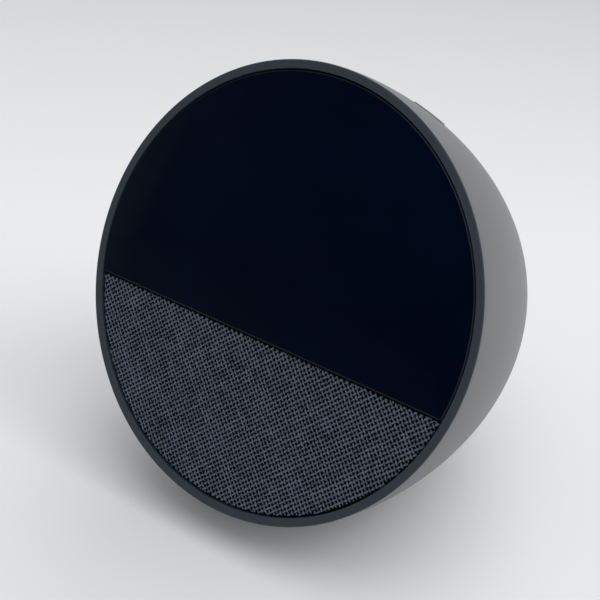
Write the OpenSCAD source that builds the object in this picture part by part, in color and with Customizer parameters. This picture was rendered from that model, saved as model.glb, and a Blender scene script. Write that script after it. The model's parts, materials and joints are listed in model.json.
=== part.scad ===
// Table-top smart speaker with a screen: a dome shell with a tilted round face,
// half glass and half cloth, built as separate pieces on a front chassis.
//
// Frame: +Z up, the face looks towards -Y and upwards, +X to the viewer's right.
// The origin is at the middle of the bounding box's base, on the surface it stands on.
// Most pieces are drawn in the face frame: X right, Y up along the face, and Z out of
// the face, so a depth behind the face is a negative Z.

/* [Body] */
// Diameter of the round face, which is the widest part
face_d = 113; // [108:0.1:136]
// Lean of the face back from upright, in degrees
face_tilt = 26; // [18:0.1:32]
// Depth of the dome behind the face, along its own axis
dome_depth = 80.8; // [74:0.01:97]
// Power that rounds the dome near the face
dome_front_power = 1.6; // [1.4:0.05:2.2]
// Power that flattens the dome's back
dome_back_power = 2.5; // [2:0.05:3]
// Thickness of the shell's wall, which is the width of the rim too
shell_wall = 2.2; // [1.7:0.01:3]
// Height of the shell's flat underside above the table
stand_h = 1.2; // [0.8:0.1:2]
// Depth by which the dome's underside is cut flat
flat_cut = 2.303; // [1.6:0.001:5]
// Thickness of the shell's flat floor
floor_t = 2.6; // [2:0.1:4]

/* [Face] */
// Distance of the divider below the centre of the face
divider_drop = 12.2; // [8:0.1:18]
// Recess of the glass behind the rim
glass_recess = 0.3; // [0.1:0.1:1]
// Thickness of the cover glass
glass_t = 1.1; // [0.7:0.1:2]
// Chamfer round the front edge of the glass
glass_chamfer = 0.35; // [0.1:0.05:0.6]
// Gap round the glass and the grille
face_gap = 0.35; // [0.2:0.05:0.6]
// Thickness of the grille cloth
cloth_t = 0.6; // [0.3:0.1:1.2]
// Recess of the cloth behind the rim
cloth_recess = 0.5; // [0.3:0.1:1.2]
// Thickness of the grille plate under the cloth
grille_t = 1.5; // [1:0.1:2.5]
// Radius of the sound holes in the grille plate
grille_hole_r = 1; // [0.6:0.1:1.3]
// Pitch of the sound holes
grille_pitch = 3; // [2.8:0.1:4]
// Thickness of the chassis plate
chassis_t = 2.5; // [2:0.1:4]

/* [Display] */
// Width of the display module
display_w = 62.6; // [50:0.1:66]
// Height of the display module
display_h = 47; // [40:0.2:47.6]
// Height of the display's middle above the face's centre
display_y = 16.6; // [16.2:0.1:18]
// Thickness of the LCD panel
lcd_t = 1.3; // [1:0.1:2]
// Thickness of the backlight
backlight_t = 2.4; // [1.6:0.1:3]
// Thickness of the touch sensor layer
touch_t = 0.2; // [0.1:0.05:0.4]

/* [Loudspeaker] */
// Radius of the driver's flange
driver_r = 20.4; // [17:0.1:20.8]
// Distance of the driver's axis below the face's centre
driver_drop = 30.4; // [29.6:0.2:31]
// Width of the lip that the opening in front of the driver leaves over its surround
opening_lip = 1.8; // [1.6:0.1:4]
// Depth of the driver from its flange to its back plate
driver_depth = 21.5; // [18:0.5:26]
// Radius of the magnet
magnet_r = 14; // [10:0.5:15]
// Radius of the voice coil's former
coil_r = 6.4; // [5:0.1:8]
// Half width of the speaker enclosure
enclosure_half_w = 31; // [27:0.5:34]
// Depth of the back of the enclosure behind the face
enclosure_back = 46; // [38:1:52]
// Wall of the enclosure
enclosure_wall = 1.8; // [1.2:0.1:2.6]

/* [Buttons] */
// Radius of a button cap
button_r = 4.6; // [3.8:0.01:5.6]
// Distance of the buttons behind the face
button_s = 18.5; // [16:0.5:22]
// Space between neighbouring buttons round the dome
button_space = 7.4; // [7:0.1:9]
// Height of a cap above the shell
button_proud = 0.25; // [0.1:0.05:0.8]
// Gap round a button cap
button_gap = 0.15; // [0.1:0.05:0.3]
// Travel of a button
button_travel = 0.35; // [0.2:0.05:0.5]

/* [Power inlet] */
// Radius of the hole that takes the plug
port_r = 5.6; // [4.5:0.1:7]
// Radius of the jack's socket
jack_bore_r = 2.85; // [2:0.05:3.2]
// Radius of the jack's centre pin
jack_pin_r = 1.05; // [0.6:0.05:1.3]
// Width of the jack's housing
jack_w = 12; // [9:0.5:14]

/* [Foot] */
// Length of the foot, front to back
foot_l = 37; // [30:0.5:42]
// Width of the foot
foot_w = 23; // [18:0.5:28]
// Distance of the foot's middle in front of the dome's lowest point
foot_shift = 1.4; // [0:0.1:3]
// Depth of the foot's recess in the shell
foot_inset = 0.8; // [0.4:0.1:1.2]

/* [Hidden] */
$fn = 96;
eps = 0.01;
cut = 1;
big = 300;
fit_gap = 0.3;
dome_steps = 44;

face_r = face_d / 2;
rim_edge_r = 0.5;
inner_r = face_r - shell_wall;
inner_depth = dome_depth - shell_wall;

// Radius of a dome of front radius r0 and given depth, at distance s behind the face.
function dome_r(s, r0, depth) =
    r0 * pow(max(0, 1 - pow(s / depth, dome_front_power)), 1 / dome_back_power);

// Distances behind the face that space a dome's outline evenly, close together at its back.
function dome_s(i, depth) = depth * (1 - pow(1 - i / dome_steps, dome_back_power));

// Outline of a dome as radius and height, from the face to the point at its back.
function dome_outline(r0, depth, first) =
    [for (i = [first:dome_steps]) let (s = dome_s(i, depth)) [dome_r(s, r0, depth), -s]];

outline = dome_outline(face_r, dome_depth, 0);
dome_low = max([for (p = outline) p[0] * cos(face_tilt) - p[1] * sin(face_tilt)]);
low_y = [for (p = outline) if (p[0] * cos(face_tilt) - p[1] * sin(face_tilt) == dome_low)
    -p[1] * cos(face_tilt) - p[0] * sin(face_tilt)][0];
face_z = stand_h - flat_cut + dome_low;
foot_y = low_y - foot_shift;
back_reach = max([for (p = outline) -p[1] * cos(face_tilt) + p[0] * sin(face_tilt)]);
front_reach = (face_r - rim_edge_r) * sin(face_tilt) + rim_edge_r * (1 - cos(face_tilt));
face_y = (front_reach - back_reach) / 2;

// Slope of the dome at the buttons, and the frame that follows its surface there.
button_r0 = dome_r(button_s, face_r, dome_depth);
button_step = (2 * button_r + button_space) / button_r0 * 180 / PI;
button_lean = atan((dome_r(button_s - cut, face_r, dome_depth)
    - dome_r(button_s + cut, face_r, dome_depth)) / (2 * cut));

// A point beside the buttons: a along the surface towards the back, b out of it.
function surface_point(a, b) = [
    button_r0 - a * sin(button_lean) + b * cos(button_lean),
    -button_s - a * cos(button_lean) - b * sin(button_lean)];

// Depths behind the face where the front pieces meet.
glass_back = glass_recess + glass_t;
tape_t = 0.3;
chassis_front = glass_back + tape_t;
chassis_back = chassis_front + chassis_t;
cloth_back = cloth_recess + cloth_t;
grille_back = cloth_back + grille_t;
lcd_front = glass_back + touch_t;
lcd_back = lcd_front + lcd_t;
backlight_back = lcd_back + backlight_t;
bracket_t = 0.6;
window_gap = 0.3;
sensor_w = 5;
sensor_h = 2.6;
sensor_seat = 1;
sensor_y = inner_r - face_gap - 5.75;

// Fasteners of the chassis, which pass into bosses of the shell.
chassis_r = dome_r(chassis_back, inner_r, inner_depth) - face_gap;
boss_angles = [30, 150, 210, 330];
boss_r = 3.4;
boss_edge = 1.05;
boss_ring_r = chassis_r - boss_r - boss_edge;
boss_l = 13;
side_boss_r = 2.6;
side_pilot_r = 0.8;
screw_r = 1.25;
screw_head_r = 2.3;
screw_head_h = 1.1;
small_screw_r = 0.9;
small_head_r = 1.8;
small_head_h = 0.9;
board_screw_l = 6;
bracket_screw_l = 3;
chassis_pilot_l = 1.6;
small_hole_r = small_screw_r + 0.2;
board_screw_r = 0.85;
long_screw_r = 0.75;

// Main board, in front of its heat sink.
board_front = 13;
board_t = 1.2;
board_back = board_front + board_t;
board_top = 35.5;
board_bottom = -6.6;
board_half_w = 42;
board_gap = 2.4;
board_hole_r = 1.2;
board_r = dome_r(board_back, inner_r, inner_depth) - board_gap;
post_r = 2.6;
post_low = [board_half_w - 6, board_bottom + 4.6];
post_high = [board_half_w - 7.5, board_top - 4.3];
post_places = [[-post_low[0], post_low[1]], post_low, [-post_high[0], post_high[1]], post_high];
aerial_w = 0.8;
aerial_h = 17;
aerial_l = 12;
aerial_low = -2;
aerial_x = board_half_w + 3.4;
rib_back = 18;
rib_t = 1;
shield_w = 24;
shield_t = 2.2;
shield_y = 15;
shield_wall = 0.4;
pad_t = 0.8;
pad_w = 18;
sink_w = 56;
sink_h = 34;
sink_t = 2;
sink_front = board_back + shield_t + pad_t;
fin_l = 9;
fin_t = 1.4;
fin_pitch = 5.4;
fin_inset = 6.5;
sink_screw_x = 24.5;
sink_screw_y = 13.5;
ear_r = 2.9;
ear_edge = 2.2;
ear_x = display_w / 2 + ear_edge + ear_r;
ear_low = 8;
ear_top = display_y + display_h / 2 + ear_edge + ear_r;
ear_top_x = 8;
bracket_ears = [[-ear_x, ear_low], [ear_x, ear_low], [-ear_top_x, ear_top], [ear_top_x, ear_top]];

// Loudspeaker: depths from the flange's front face.
driver_gasket_t = 0.7;
driver_front = chassis_back + driver_gasket_t;
flange_t = 1.2;
ear_ring_r = driver_r + 1;
driver_ear_r = 2.3;
roll_groove = 0.6;
roll_room = 1.1;
surround_out_r = driver_r - 1.4;
driver_opening_r = surround_out_r - opening_lip;
surround_in_r = driver_r - 5;
surround_t = 0.35;
cone_t = 0.4;
cone_front = 1;
cone_back = 5.6;
cone_edge_r = surround_in_r - 1;
cone_edge_z = cone_front - 0.45;
coil_front = 4.6;
coil_back = 13.6;
coil_t = 0.25;
dust_cap_gap = 0.22;
dust_cap_t = 0.35;
winding_t = 0.45;
spider_z = 7.2;
spider_r = surround_out_r - 5.8;
top_plate_z = 10.2;
top_plate_t = 2.2;
yoke_t = 3;
magnet_z = top_plate_z + top_plate_t;
yoke_z = driver_depth - yoke_t;
gap_r = coil_r + winding_t + coil_t + 0.35;
pole_r = coil_r - 0.35;
basket_back_r = magnet_r + 1.2;

// Button stack: distances below the shell's surface, along the button's axis.
flange_r = button_r + 1;
cap_edge = 0.2;
cap_h = shell_wall + 0.15;
button_flange_t = 1.1;
post_end = cap_h + button_flange_t + 0.75;
plunger_gap = 0.2;
plunger_in = 0.15;
switch_top = post_end + button_travel + plunger_gap;
plunger_end = switch_top + plunger_in;
switch_bore = plunger_in + button_travel + 0.45;
switch_h = 1.55;
switch_w = 4.5;
plunger_r = 0.9;
board_pad_top = switch_top + switch_h;
pad_board_t = 0.8;
carrier_top = board_pad_top + pad_board_t;
carrier_t = 2;
carrier_half_w = 6;
carrier_half_angle = button_step + 15;
carrier_boss_angle = button_step + 11;
mic_angle = button_step / 2;
mic_hole_r = 0.6;

// Power inlet: distances inside the dome's back, along its axis.
jack_front = shell_wall + 2 * fit_gap;
jack_l = 13;
jack_back = jack_front + jack_l;
jack_bore_l = 9.5;
jack_boss_x = jack_w / 2 + 4.2;
jack_plate_t = 1.6;

// Enclosure's top wall, and the screws that hold the enclosure.
enclosure_top = display_h / 2 - display_y + 0.5;
enclosure_ear_out = 2.2;
enclosure_ear_r = 2.6;
enclosure_ear_t = 2;
enclosure_gasket_t = 0.6;

// Plugs on the back of the board, as [x, y, width, height, thickness].
speaker_plug = [26, -6.2, 6, 3.8, 3];
power_plug = [29, 9, 7, 4.5, 3.4];
button_plug = [-6, 31, 12, 3.6, 1.2];
tail_depth = 14.8;
tail_half_w = 3;
tail_reach = (tail_depth - button_s + carrier_top * sin(button_lean)) / cos(button_lean);
tail_end = surface_point(tail_reach, -carrier_top + 0.1)[0];

// Wires, as the points in the face frame that they run through.
wire_r = 0.6;
wire_x = 2.2;
speaker_wire_z = -16;
jack_contact_x = 3.6;
wire_bend = dome_depth - jack_back - 9;
power_wire_bend = 34;

// ---- Frames and shared shapes ----

// Places children, drawn in the face frame, in the object's frame.
module in_face() {
    translate([0, face_y, face_z]) rotate([90 - face_tilt, 0, 0]) children();
}

// Places children with Z out of the dome at the buttons, turned round the dome by angle.
module on_dome(angle) {
    in_face() rotate([0, 0, -angle]) translate([0, button_r0, -button_s])
        rotate([-(90 + button_lean), 0, 0]) children();
}

// Places children with Z out of the dome's back, along its axis.
module on_back() {
    in_face() translate([0, 0, -dome_depth]) rotate([180, 0, 0]) children();
}

// Places children on the driver's axis, with Z back into the body from its flange.
module on_driver() {
    in_face() translate([0, -driver_drop, -driver_front]) rotate([180, 0, 0]) children();
}

// A slab in the face frame between two depths behind the face.
module slab(front, back) {
    translate([0, 0, -back]) linear_extrude(back - front) children();
}

// Solid dome of front radius r0 and given depth.
module dome_solid(r0, depth) {
    rotate_extrude() polygon(concat([[0, 0]], dome_outline(r0, depth, 0)));
}

// The dome's outside, with its front edge rounded.
module dome_outside() {
    edge = [for (a = [90:-18:0])
        [face_r - rim_edge_r + rim_edge_r * cos(a), -rim_edge_r + rim_edge_r * sin(a)]];
    rotate_extrude() polygon(concat([[0, 0]], edge, dome_outline(face_r, dome_depth, 4)));
}

// Everything above a height in the object's frame.
module above(z) {
    translate([-big / 2, -big / 2, z]) cube([big, big, big]);
}

// The part of a disc above the divider, with a gap to it.
module upper_face(r, gap) {
    intersection() {
        circle(r);
        translate([-r, -divider_drop + gap]) square([2 * r, 2 * r]);
    }
}

// The part of a disc below the divider, with a gap to it.
module lower_face(r, gap) {
    intersection() {
        circle(r);
        translate([-r, -divider_drop - gap - 2 * r]) square([2 * r, 2 * r]);
    }
}

// A rectangle centred on the display.
module display_area(w, h) {
    translate([-w / 2, display_y - h / 2]) square([w, h]);
}

// A pan-head screw whose head's underside is at Z 0 and whose shank runs to -length.
module screw(length, head_r = screw_head_r, head_h = screw_head_h, r = screw_r) {
    difference() {
        cylinder(h = head_h, r = head_r);
        translate([0, 0, head_h / 2]) cylinder(h = head_h, r = head_r / 2, $fn = 6);
    }
    translate([0, 0, -length]) cylinder(h = length + eps, r = r);
}

// A round wire through a list of points, with a rounded bend at each one between.
module wire(points, bend_r = wire_r) {
    last = len(points) - 1;
    for (i = [0:last - 1]) {
        run = points[i + 1] - points[i];
        translate(points[i]) rotate([0, acos(run[2] / norm(run)), atan2(run[1], run[0])])
            cylinder(h = norm(run), r = wire_r, $fn = 32);
    }
    for (i = [1:last - 1]) translate(points[i]) sphere(bend_r, $fn = 32);
}

// A block on the board's back, from [x, y, width, height, thickness].
module board_block(b) {
    translate([b[0], b[1], -board_back - b[4]]) cube([b[2], b[3], b[4]]);
}

// ---- Shell and foot ----

module foot_outline(grow = 0) {
    r = foot_w / 2;
    half = (foot_l - foot_w) / 2;
    translate([0, face_y + foot_y]) {
        for (y = [-half, half]) translate([0, y]) circle(r + grow);
        square([foot_w + 2 * grow, 2 * half], center = true);
    }
}

module shell_bosses() {
    in_face() for (a = boss_angles) rotate([0, 0, a]) translate([0, 0, -chassis_back - boss_l]) {
        translate([boss_ring_r, 0, 0]) cylinder(h = boss_l, r = boss_r);
        translate([boss_ring_r, -1.2, 0]) cube([face_r - boss_ring_r, 2.4, boss_l]);
    }
    for (a = [-carrier_boss_angle, carrier_boss_angle]) on_dome(a)
        translate([0, 0, -carrier_top]) cylinder(h = carrier_top - 1, r = side_boss_r);
    for (x = [-jack_boss_x, jack_boss_x]) on_back()
        translate([x, 0, -jack_back]) cylinder(h = jack_back - 1, r = side_boss_r);
}

module shell_holes() {
    in_face() for (a = boss_angles) rotate([0, 0, a])
        translate([boss_ring_r, 0, -chassis_back - boss_l + cut])
            cylinder(h = boss_l + cut, r = screw_r);
    for (k = [-1:1]) on_dome(k * button_step) {
        translate([0, 0, -shell_wall - cut])
            cylinder(h = shell_wall + 2 * cut, r = button_r + button_gap);
        translate([0, 0, -carrier_top])
            cylinder(h = carrier_top - shell_wall - 0.05, r = flange_r + 0.4);
    }
    for (a = [-mic_angle, mic_angle]) on_dome(a)
        translate([0, 0, -2 * shell_wall]) cylinder(h = 3 * shell_wall, r = mic_hole_r);
    for (a = [-carrier_boss_angle, carrier_boss_angle]) on_dome(a)
        translate([0, 0, -carrier_top - cut]) cylinder(h = carrier_top - shell_wall, r = side_pilot_r);
    on_back() translate([0, 0, -shell_wall - 4]) cylinder(h = shell_wall + 4 + cut, r = port_r);
    for (x = [-jack_boss_x, jack_boss_x]) on_back()
        translate([x, 0, -jack_back - cut]) cylinder(h = jack_l - 2, r = side_pilot_r);
    translate([0, 0, stand_h - cut]) linear_extrude(foot_inset + cut) foot_outline(0.2);
}

module dome_shell() {
    color([0.16, 0.17, 0.18]) difference() {
        union() {
            difference() {
                intersection() {
                    in_face() dome_outside();
                    above(stand_h);
                }
                intersection() {
                    in_face() translate([0, 0, eps]) dome_solid(inner_r, inner_depth);
                    above(stand_h + floor_t);
                }
            }
            intersection() {
                shell_bosses();
                in_face() dome_solid(face_r - 1, dome_depth - 1);
            }
        }
        shell_holes();
    }
}

module foot_pad() {
    color([0.09, 0.09, 0.1]) linear_extrude(stand_h + foot_inset) foot_outline();
}

// ---- Glass and display ----

module cover_glass() {
    r = inner_r - face_gap;
    color([0.01, 0.012, 0.02]) in_face() intersection() {
        translate([0, 0, -glass_back]) union() {
            cylinder(h = glass_t - glass_chamfer, r = r);
            translate([0, 0, glass_t - glass_chamfer - eps])
                cylinder(h = glass_chamfer + eps, r1 = r, r2 = r - glass_chamfer);
        }
        translate([0, 0, -glass_back]) rotate([90, 0, 90]) translate([0, 0, -face_r])
            linear_extrude(face_d) polygon([[-divider_drop, 0],
                [-divider_drop, glass_t - glass_chamfer],
                [-divider_drop + glass_chamfer, glass_t], [face_r, glass_t], [face_r, 0]]);
    }
}

module glass_tape() {
    color([0.05, 0.05, 0.05]) in_face() slab(glass_back, chassis_front) difference() {
        upper_face(inner_r - 1.2, 0.8);
        display_area(display_w + 1, display_h + 1);
        translate([0, sensor_y]) square([sensor_w + 2, sensor_h + 1.4], center = true);
    }
}

module touch_sensor() {
    color([0.2, 0.22, 0.25]) in_face() slab(glass_back, lcd_front)
        display_area(display_w - 2, display_h - 2);
}

module lcd_panel() {
    color([0.04, 0.05, 0.06]) in_face() slab(lcd_front, lcd_back)
        display_area(display_w - 2, display_h - 2);
}

module backlight() {
    color([0.7, 0.72, 0.74]) in_face() slab(lcd_back, backlight_back)
        display_area(display_w, display_h);
}

module display_bracket() {
    color([0.62, 0.63, 0.65]) in_face() slab(backlight_back, backlight_back + bracket_t)
        difference() {
            union() {
                display_area(display_w, display_h);
                for (p = bracket_ears) translate(p) circle(ear_r);
                translate([-ear_x, ear_low - ear_r]) square([2 * ear_x, 2 * ear_r]);
                for (x = [-ear_top_x, ear_top_x]) translate([x - ear_r, display_y])
                    square([2 * ear_r, ear_top - display_y]);
            }
            for (p = bracket_ears) translate(p) circle(small_hole_r);
            translate([0, display_y + 3.4]) square([26, 16], center = true);
        }
}

module bracket_screws() {
    color([0.75, 0.75, 0.77]) in_face() for (p = bracket_ears)
        translate([p[0], p[1], -backlight_back - bracket_t]) rotate([180, 0, 0])
            screw(bracket_screw_l, small_head_r, small_head_h, small_screw_r);
}

module display_flex() {
    y0 = display_y - display_h / 2 + 6;
    fold = backlight_back + bracket_t;
    color([0.55, 0.33, 0.1]) in_face() translate([-7, 0, 0]) rotate([90, 0, 90])
        linear_extrude(14) {
            translate([y0, -fold - 0.3]) square([10, 0.25]);
            translate([y0 + 9.75, -board_front + 1.05]) square([0.25, board_front - 1.05 - fold - 0.05]);
            translate([y0 + 9.75, -board_front + 1.05]) square([8, 0.25]);
        }
}

module light_sensor() {
    color([0.1, 0.1, 0.12]) in_face() slab(glass_back + 0.1, chassis_front + sensor_seat)
        translate([0, sensor_y]) square([sensor_w, sensor_h], center = true);
}

// ---- Grille ----

module grille_cloth() {
    color([0.22, 0.23, 0.26]) in_face() slab(cloth_recess, cloth_back)
        lower_face(inner_r - face_gap, face_gap);
}

module grille_plate() {
    reach = driver_opening_r - grille_hole_r - 0.6;
    row = grille_pitch * sin(60);
    color([0.08, 0.08, 0.09]) in_face() difference() {
        slab(cloth_back, grille_back) difference() {
            lower_face(inner_r - face_gap - 0.3, face_gap + 0.3);
            for (j = [-6:6]) for (i = [-6:6]) {
                x = (i + (j % 2 == 0 ? 0 : 0.5)) * grille_pitch;
                y = j * row;
                if (norm([x, y]) < reach && y - driver_drop < -divider_drop - face_gap - 0.3 - 1.6)
                    translate([x, y - driver_drop]) circle(grille_hole_r, $fn = 24);
            }
        }
        for (a = [210, 330]) rotate([0, 0, a]) translate([boss_ring_r, 0, -grille_back - cut])
            cylinder(h = 0.7 + cut, r = screw_head_r + 0.3);
    }
}

// ---- Chassis ----

module chassis() {
    color([0.12, 0.12, 0.13]) in_face() difference() {
        union() {
            slab(chassis_front, chassis_back) circle(chassis_r);
            for (p = post_places) translate([p[0], p[1], -board_front])
                cylinder(h = board_front - chassis_back + eps, r = post_r);
            for (p = bracket_ears) translate([p[0], p[1], -backlight_back])
                cylinder(h = backlight_back - chassis_back + eps, r = ear_r);
            for (x = [-1, 1]) translate([x * aerial_x - rib_t / 2, aerial_low, -rib_back])
                cube([rib_t, aerial_h + 1, rib_back - chassis_back + eps]);
        }
        slab(-cut, grille_back + 0.1) lower_face(face_r, 0.15);
        slab(-cut, chassis_back + cut)
            display_area(display_w + 2 * window_gap, display_h + 2 * window_gap);
        slab(-cut, chassis_back + cut) translate([0, -driver_drop]) circle(driver_opening_r);
        translate([0, -driver_drop, -chassis_back - cut])
            cylinder(h = roll_groove + cut, r = driver_opening_r + roll_room - 0.1);
        slab(chassis_front - cut, chassis_front + sensor_seat + 0.1) translate([0, sensor_y])
            square([sensor_w + 2 * fit_gap, sensor_h + 2 * fit_gap], center = true);
        for (a = boss_angles) rotate([0, 0, a]) translate([boss_ring_r, 0, -chassis_back - cut]) {
            cylinder(h = chassis_t + 2 * cut, r = screw_r + 0.2);
            translate([0, 0, cut + 1]) cylinder(h = chassis_t + cut, r = screw_head_r + 0.3);
        }
        for (p = post_places) translate([p[0], p[1], -board_front - cut])
            cylinder(h = board_screw_l + cut, r = small_screw_r);
        for (p = bracket_ears) translate([p[0], p[1], -backlight_back - cut])
            cylinder(h = bracket_screw_l + cut + 0.5, r = small_screw_r);
        for (a = [45:90:315]) translate([0, -driver_drop, -chassis_back - cut]) rotate([0, 0, a])
            translate([ear_ring_r, 0, 0]) cylinder(h = chassis_pilot_l + cut, r = small_screw_r);
        for (p = enclosure_ears()) translate([p[0], p[1], -chassis_back - cut])
            cylinder(h = chassis_pilot_l + cut, r = small_screw_r);
    }
}

module chassis_screws() {
    color([0.75, 0.75, 0.77]) in_face() for (a = boss_angles) rotate([0, 0, a])
        translate([boss_ring_r, 0, -chassis_back + 1]) screw(9);
}

// ---- Loudspeaker driver ----

module driver_gasket() {
    color([0.07, 0.07, 0.07]) in_face() slab(chassis_back, driver_front)
        translate([0, -driver_drop]) difference() {
            circle(driver_r);
            circle(driver_opening_r + roll_room);
        }
}

module driver_basket() {
    ribs = 6;
    color([0.2, 0.2, 0.22]) on_driver() difference() {
        union() {
            cylinder(h = flange_t, r = driver_r);
            for (a = [45:90:315]) rotate([0, 0, a]) translate([ear_ring_r, 0, 0])
                cylinder(h = flange_t, r = driver_ear_r);
            rotate_extrude() polygon([[surround_out_r - 1, flange_t - eps],
                [surround_out_r + 0.4, flange_t - eps], [basket_back_r + 1.4, spider_z + 1.2],
                [basket_back_r, top_plate_z], [spider_r - 1.6, top_plate_z],
                [spider_r - 1.6, spider_z + 0.8], [spider_r + 0.3, spider_z + 0.8],
                [spider_r + 0.9, spider_z - 1]]);
            translate([0, 0, top_plate_z - 1]) cylinder(h = 1, r = basket_back_r);
        }
        translate([0, 0, -cut]) cylinder(h = flange_t + 2 * cut, r = surround_out_r - 1);
        translate([0, 0, -cut]) cylinder(h = 0.6 + cut, r = surround_out_r);
        translate([0, 0, top_plate_z - 1 - cut]) cylinder(h = 1 + 2 * cut, r = gap_r + 1.2);
        for (a = [0:360 / ribs:359]) rotate([0, 0, a + 30]) translate([basket_back_r - 3.5, -4.5, 2.2])
            cube([12, 9, spider_z - 3.2]);
        for (a = [45:90:315]) rotate([0, 0, a]) translate([ear_ring_r, 0, -cut])
            cylinder(h = flange_t + 2 * cut, r = small_hole_r);
    }
}

module driver_screws() {
    color([0.75, 0.75, 0.77]) on_driver() for (a = [45:90:315]) rotate([0, 0, a])
        translate([ear_ring_r, 0, flange_t]) screw(2.6, small_head_r, small_head_h, small_screw_r);
}

// Half-roll surround, as an arc of constant thickness with a flat lip on each side.
module surround() {
    mid = (surround_out_r + surround_in_r) / 2 - 0.35;
    roll = (surround_out_r - surround_in_r) / 2 - 0.75;
    outer = [for (a = [180:-15:0]) [mid + roll * cos(a), 0.2 - roll * sin(a)]];
    bore = roll - surround_t;
    inner = [for (a = [0:15:180]) [mid + bore * cos(a), 0.2 - bore * sin(a)]];
    color([0.06, 0.06, 0.06]) on_driver() union() {
        rotate_extrude() polygon(concat(outer, inner));
        difference() {
            translate([0, 0, 0.2]) cylinder(h = surround_t, r = surround_out_r - 0.1);
            cylinder(h = 1, r = mid + roll - surround_t);
        }
        difference() {
            translate([0, 0, 0.2]) cylinder(h = surround_t, r = mid - roll + surround_t);
            cylinder(h = 1, r = surround_in_r - 0.8);
        }
    }
}

module cone() {
    edge_r = surround_in_r + 0.15;
    color([0.1, 0.1, 0.11]) on_driver() rotate_extrude() polygon([
        [edge_r, 0.2 + surround_t], [edge_r, 0.2 + surround_t + cone_t],
        [cone_edge_r, cone_front + cone_t], [coil_r + coil_t, cone_back + cone_t],
        [coil_r + coil_t, cone_back], [cone_edge_r, cone_edge_z]]);
}

module dust_cap() {
    cap_r = coil_r + 1.6;
    rise = 2.2;
    ball = (cap_r * cap_r + rise * rise) / (2 * rise);
    slope = (cone_back - cone_edge_z) / (cone_edge_r - coil_r - coil_t);
    seat = cone_edge_z + slope * (cone_edge_r - cap_r) - dust_cap_gap;
    color([0.05, 0.05, 0.05]) on_driver() intersection() {
        difference() {
            translate([0, 0, seat - rise + ball]) sphere(ball);
            translate([0, 0, seat - rise + ball]) sphere(ball - dust_cap_t);
        }
        translate([0, 0, seat - rise - cut]) cylinder(h = rise + cut, r = cap_r);
    }
}

module voice_coil() {
    color([0.72, 0.42, 0.2]) on_driver() union() {
        translate([0, 0, coil_front]) difference() {
            cylinder(h = coil_back - coil_front, r = coil_r + coil_t - 0.02);
            translate([0, 0, -cut]) cylinder(h = coil_back, r = coil_r);
        }
        translate([0, 0, top_plate_z - 1]) difference() {
            cylinder(h = coil_back - top_plate_z + 1, r = coil_r + coil_t + winding_t);
            translate([0, 0, -cut]) cylinder(h = coil_back, r = coil_r);
        }
    }
}

module spider() {
    waves = 4;
    inner = coil_r + coil_t + 0.02;
    steps = waves * 6;
    rise = 0.45;
    thick = 0.3;
    top = [for (i = [0:steps]) [inner + (spider_r - inner) * i / steps,
        spider_z + rise * sin(360 * waves * i / steps)]];
    under = [for (i = [steps:-1:0]) [inner + (spider_r - inner) * i / steps,
        spider_z + thick + rise * sin(360 * waves * i / steps)]];
    color([0.75, 0.6, 0.3]) on_driver() rotate_extrude() polygon(concat(top, under));
}

module top_plate() {
    color([0.5, 0.5, 0.52]) on_driver() translate([0, 0, top_plate_z]) difference() {
        cylinder(h = top_plate_t, r = magnet_r - 0.5);
        translate([0, 0, -cut]) cylinder(h = top_plate_t + 2 * cut, r = gap_r);
    }
}

module magnet() {
    color([0.15, 0.15, 0.16]) on_driver() translate([0, 0, magnet_z]) difference() {
        cylinder(h = yoke_z - magnet_z, r = magnet_r);
        translate([0, 0, -cut]) cylinder(h = yoke_z, r = gap_r + 1.2);
    }
}

module yoke() {
    color([0.5, 0.5, 0.52]) on_driver() difference() {
        union() {
            translate([0, 0, yoke_z]) cylinder(h = yoke_t, r = magnet_r - 0.5);
            translate([0, 0, top_plate_z]) cylinder(h = yoke_z - top_plate_z + eps, r = pole_r);
        }
        translate([0, 0, top_plate_z - cut]) cylinder(h = driver_depth, r = 1.6);
    }
}

module driver_terminals() {
    color([0.72, 0.58, 0.3]) on_driver() for (x = [-2.2, 2.2])
        translate([x - 0.8, -magnet_r - 1.1, top_plate_z + 0.1]) cube([1.6, 0.5, 4.5]);
}

// ---- Speaker enclosure ----

function enclosure_ears() =
    [for (x = [-1, 1]) for (y = [-13.5, -24.5]) [x * (enclosure_half_w + enclosure_ear_out), y]];

// The space inside the dome that the enclosure fills, drawn in by inset.
module enclosure_space(front, back, inset) {
    intersection() {
        in_face() {
            intersection() {
                dome_solid(inner_r - fit_gap - 0.3 - inset, inner_depth - fit_gap - inset);
                translate([-enclosure_half_w + inset, -face_r, -back])
                    cube([2 * (enclosure_half_w - inset), face_r - enclosure_top - inset, back - front]);
            }
        }
        above(stand_h + floor_t + fit_gap + inset);
    }
}

module enclosure_gasket() {
    color([0.07, 0.07, 0.07]) difference() {
        enclosure_space(chassis_back, chassis_back + enclosure_gasket_t, 0);
        enclosure_space(chassis_back - cut, chassis_back + enclosure_gasket_t + cut, enclosure_wall);
    }
}

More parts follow.
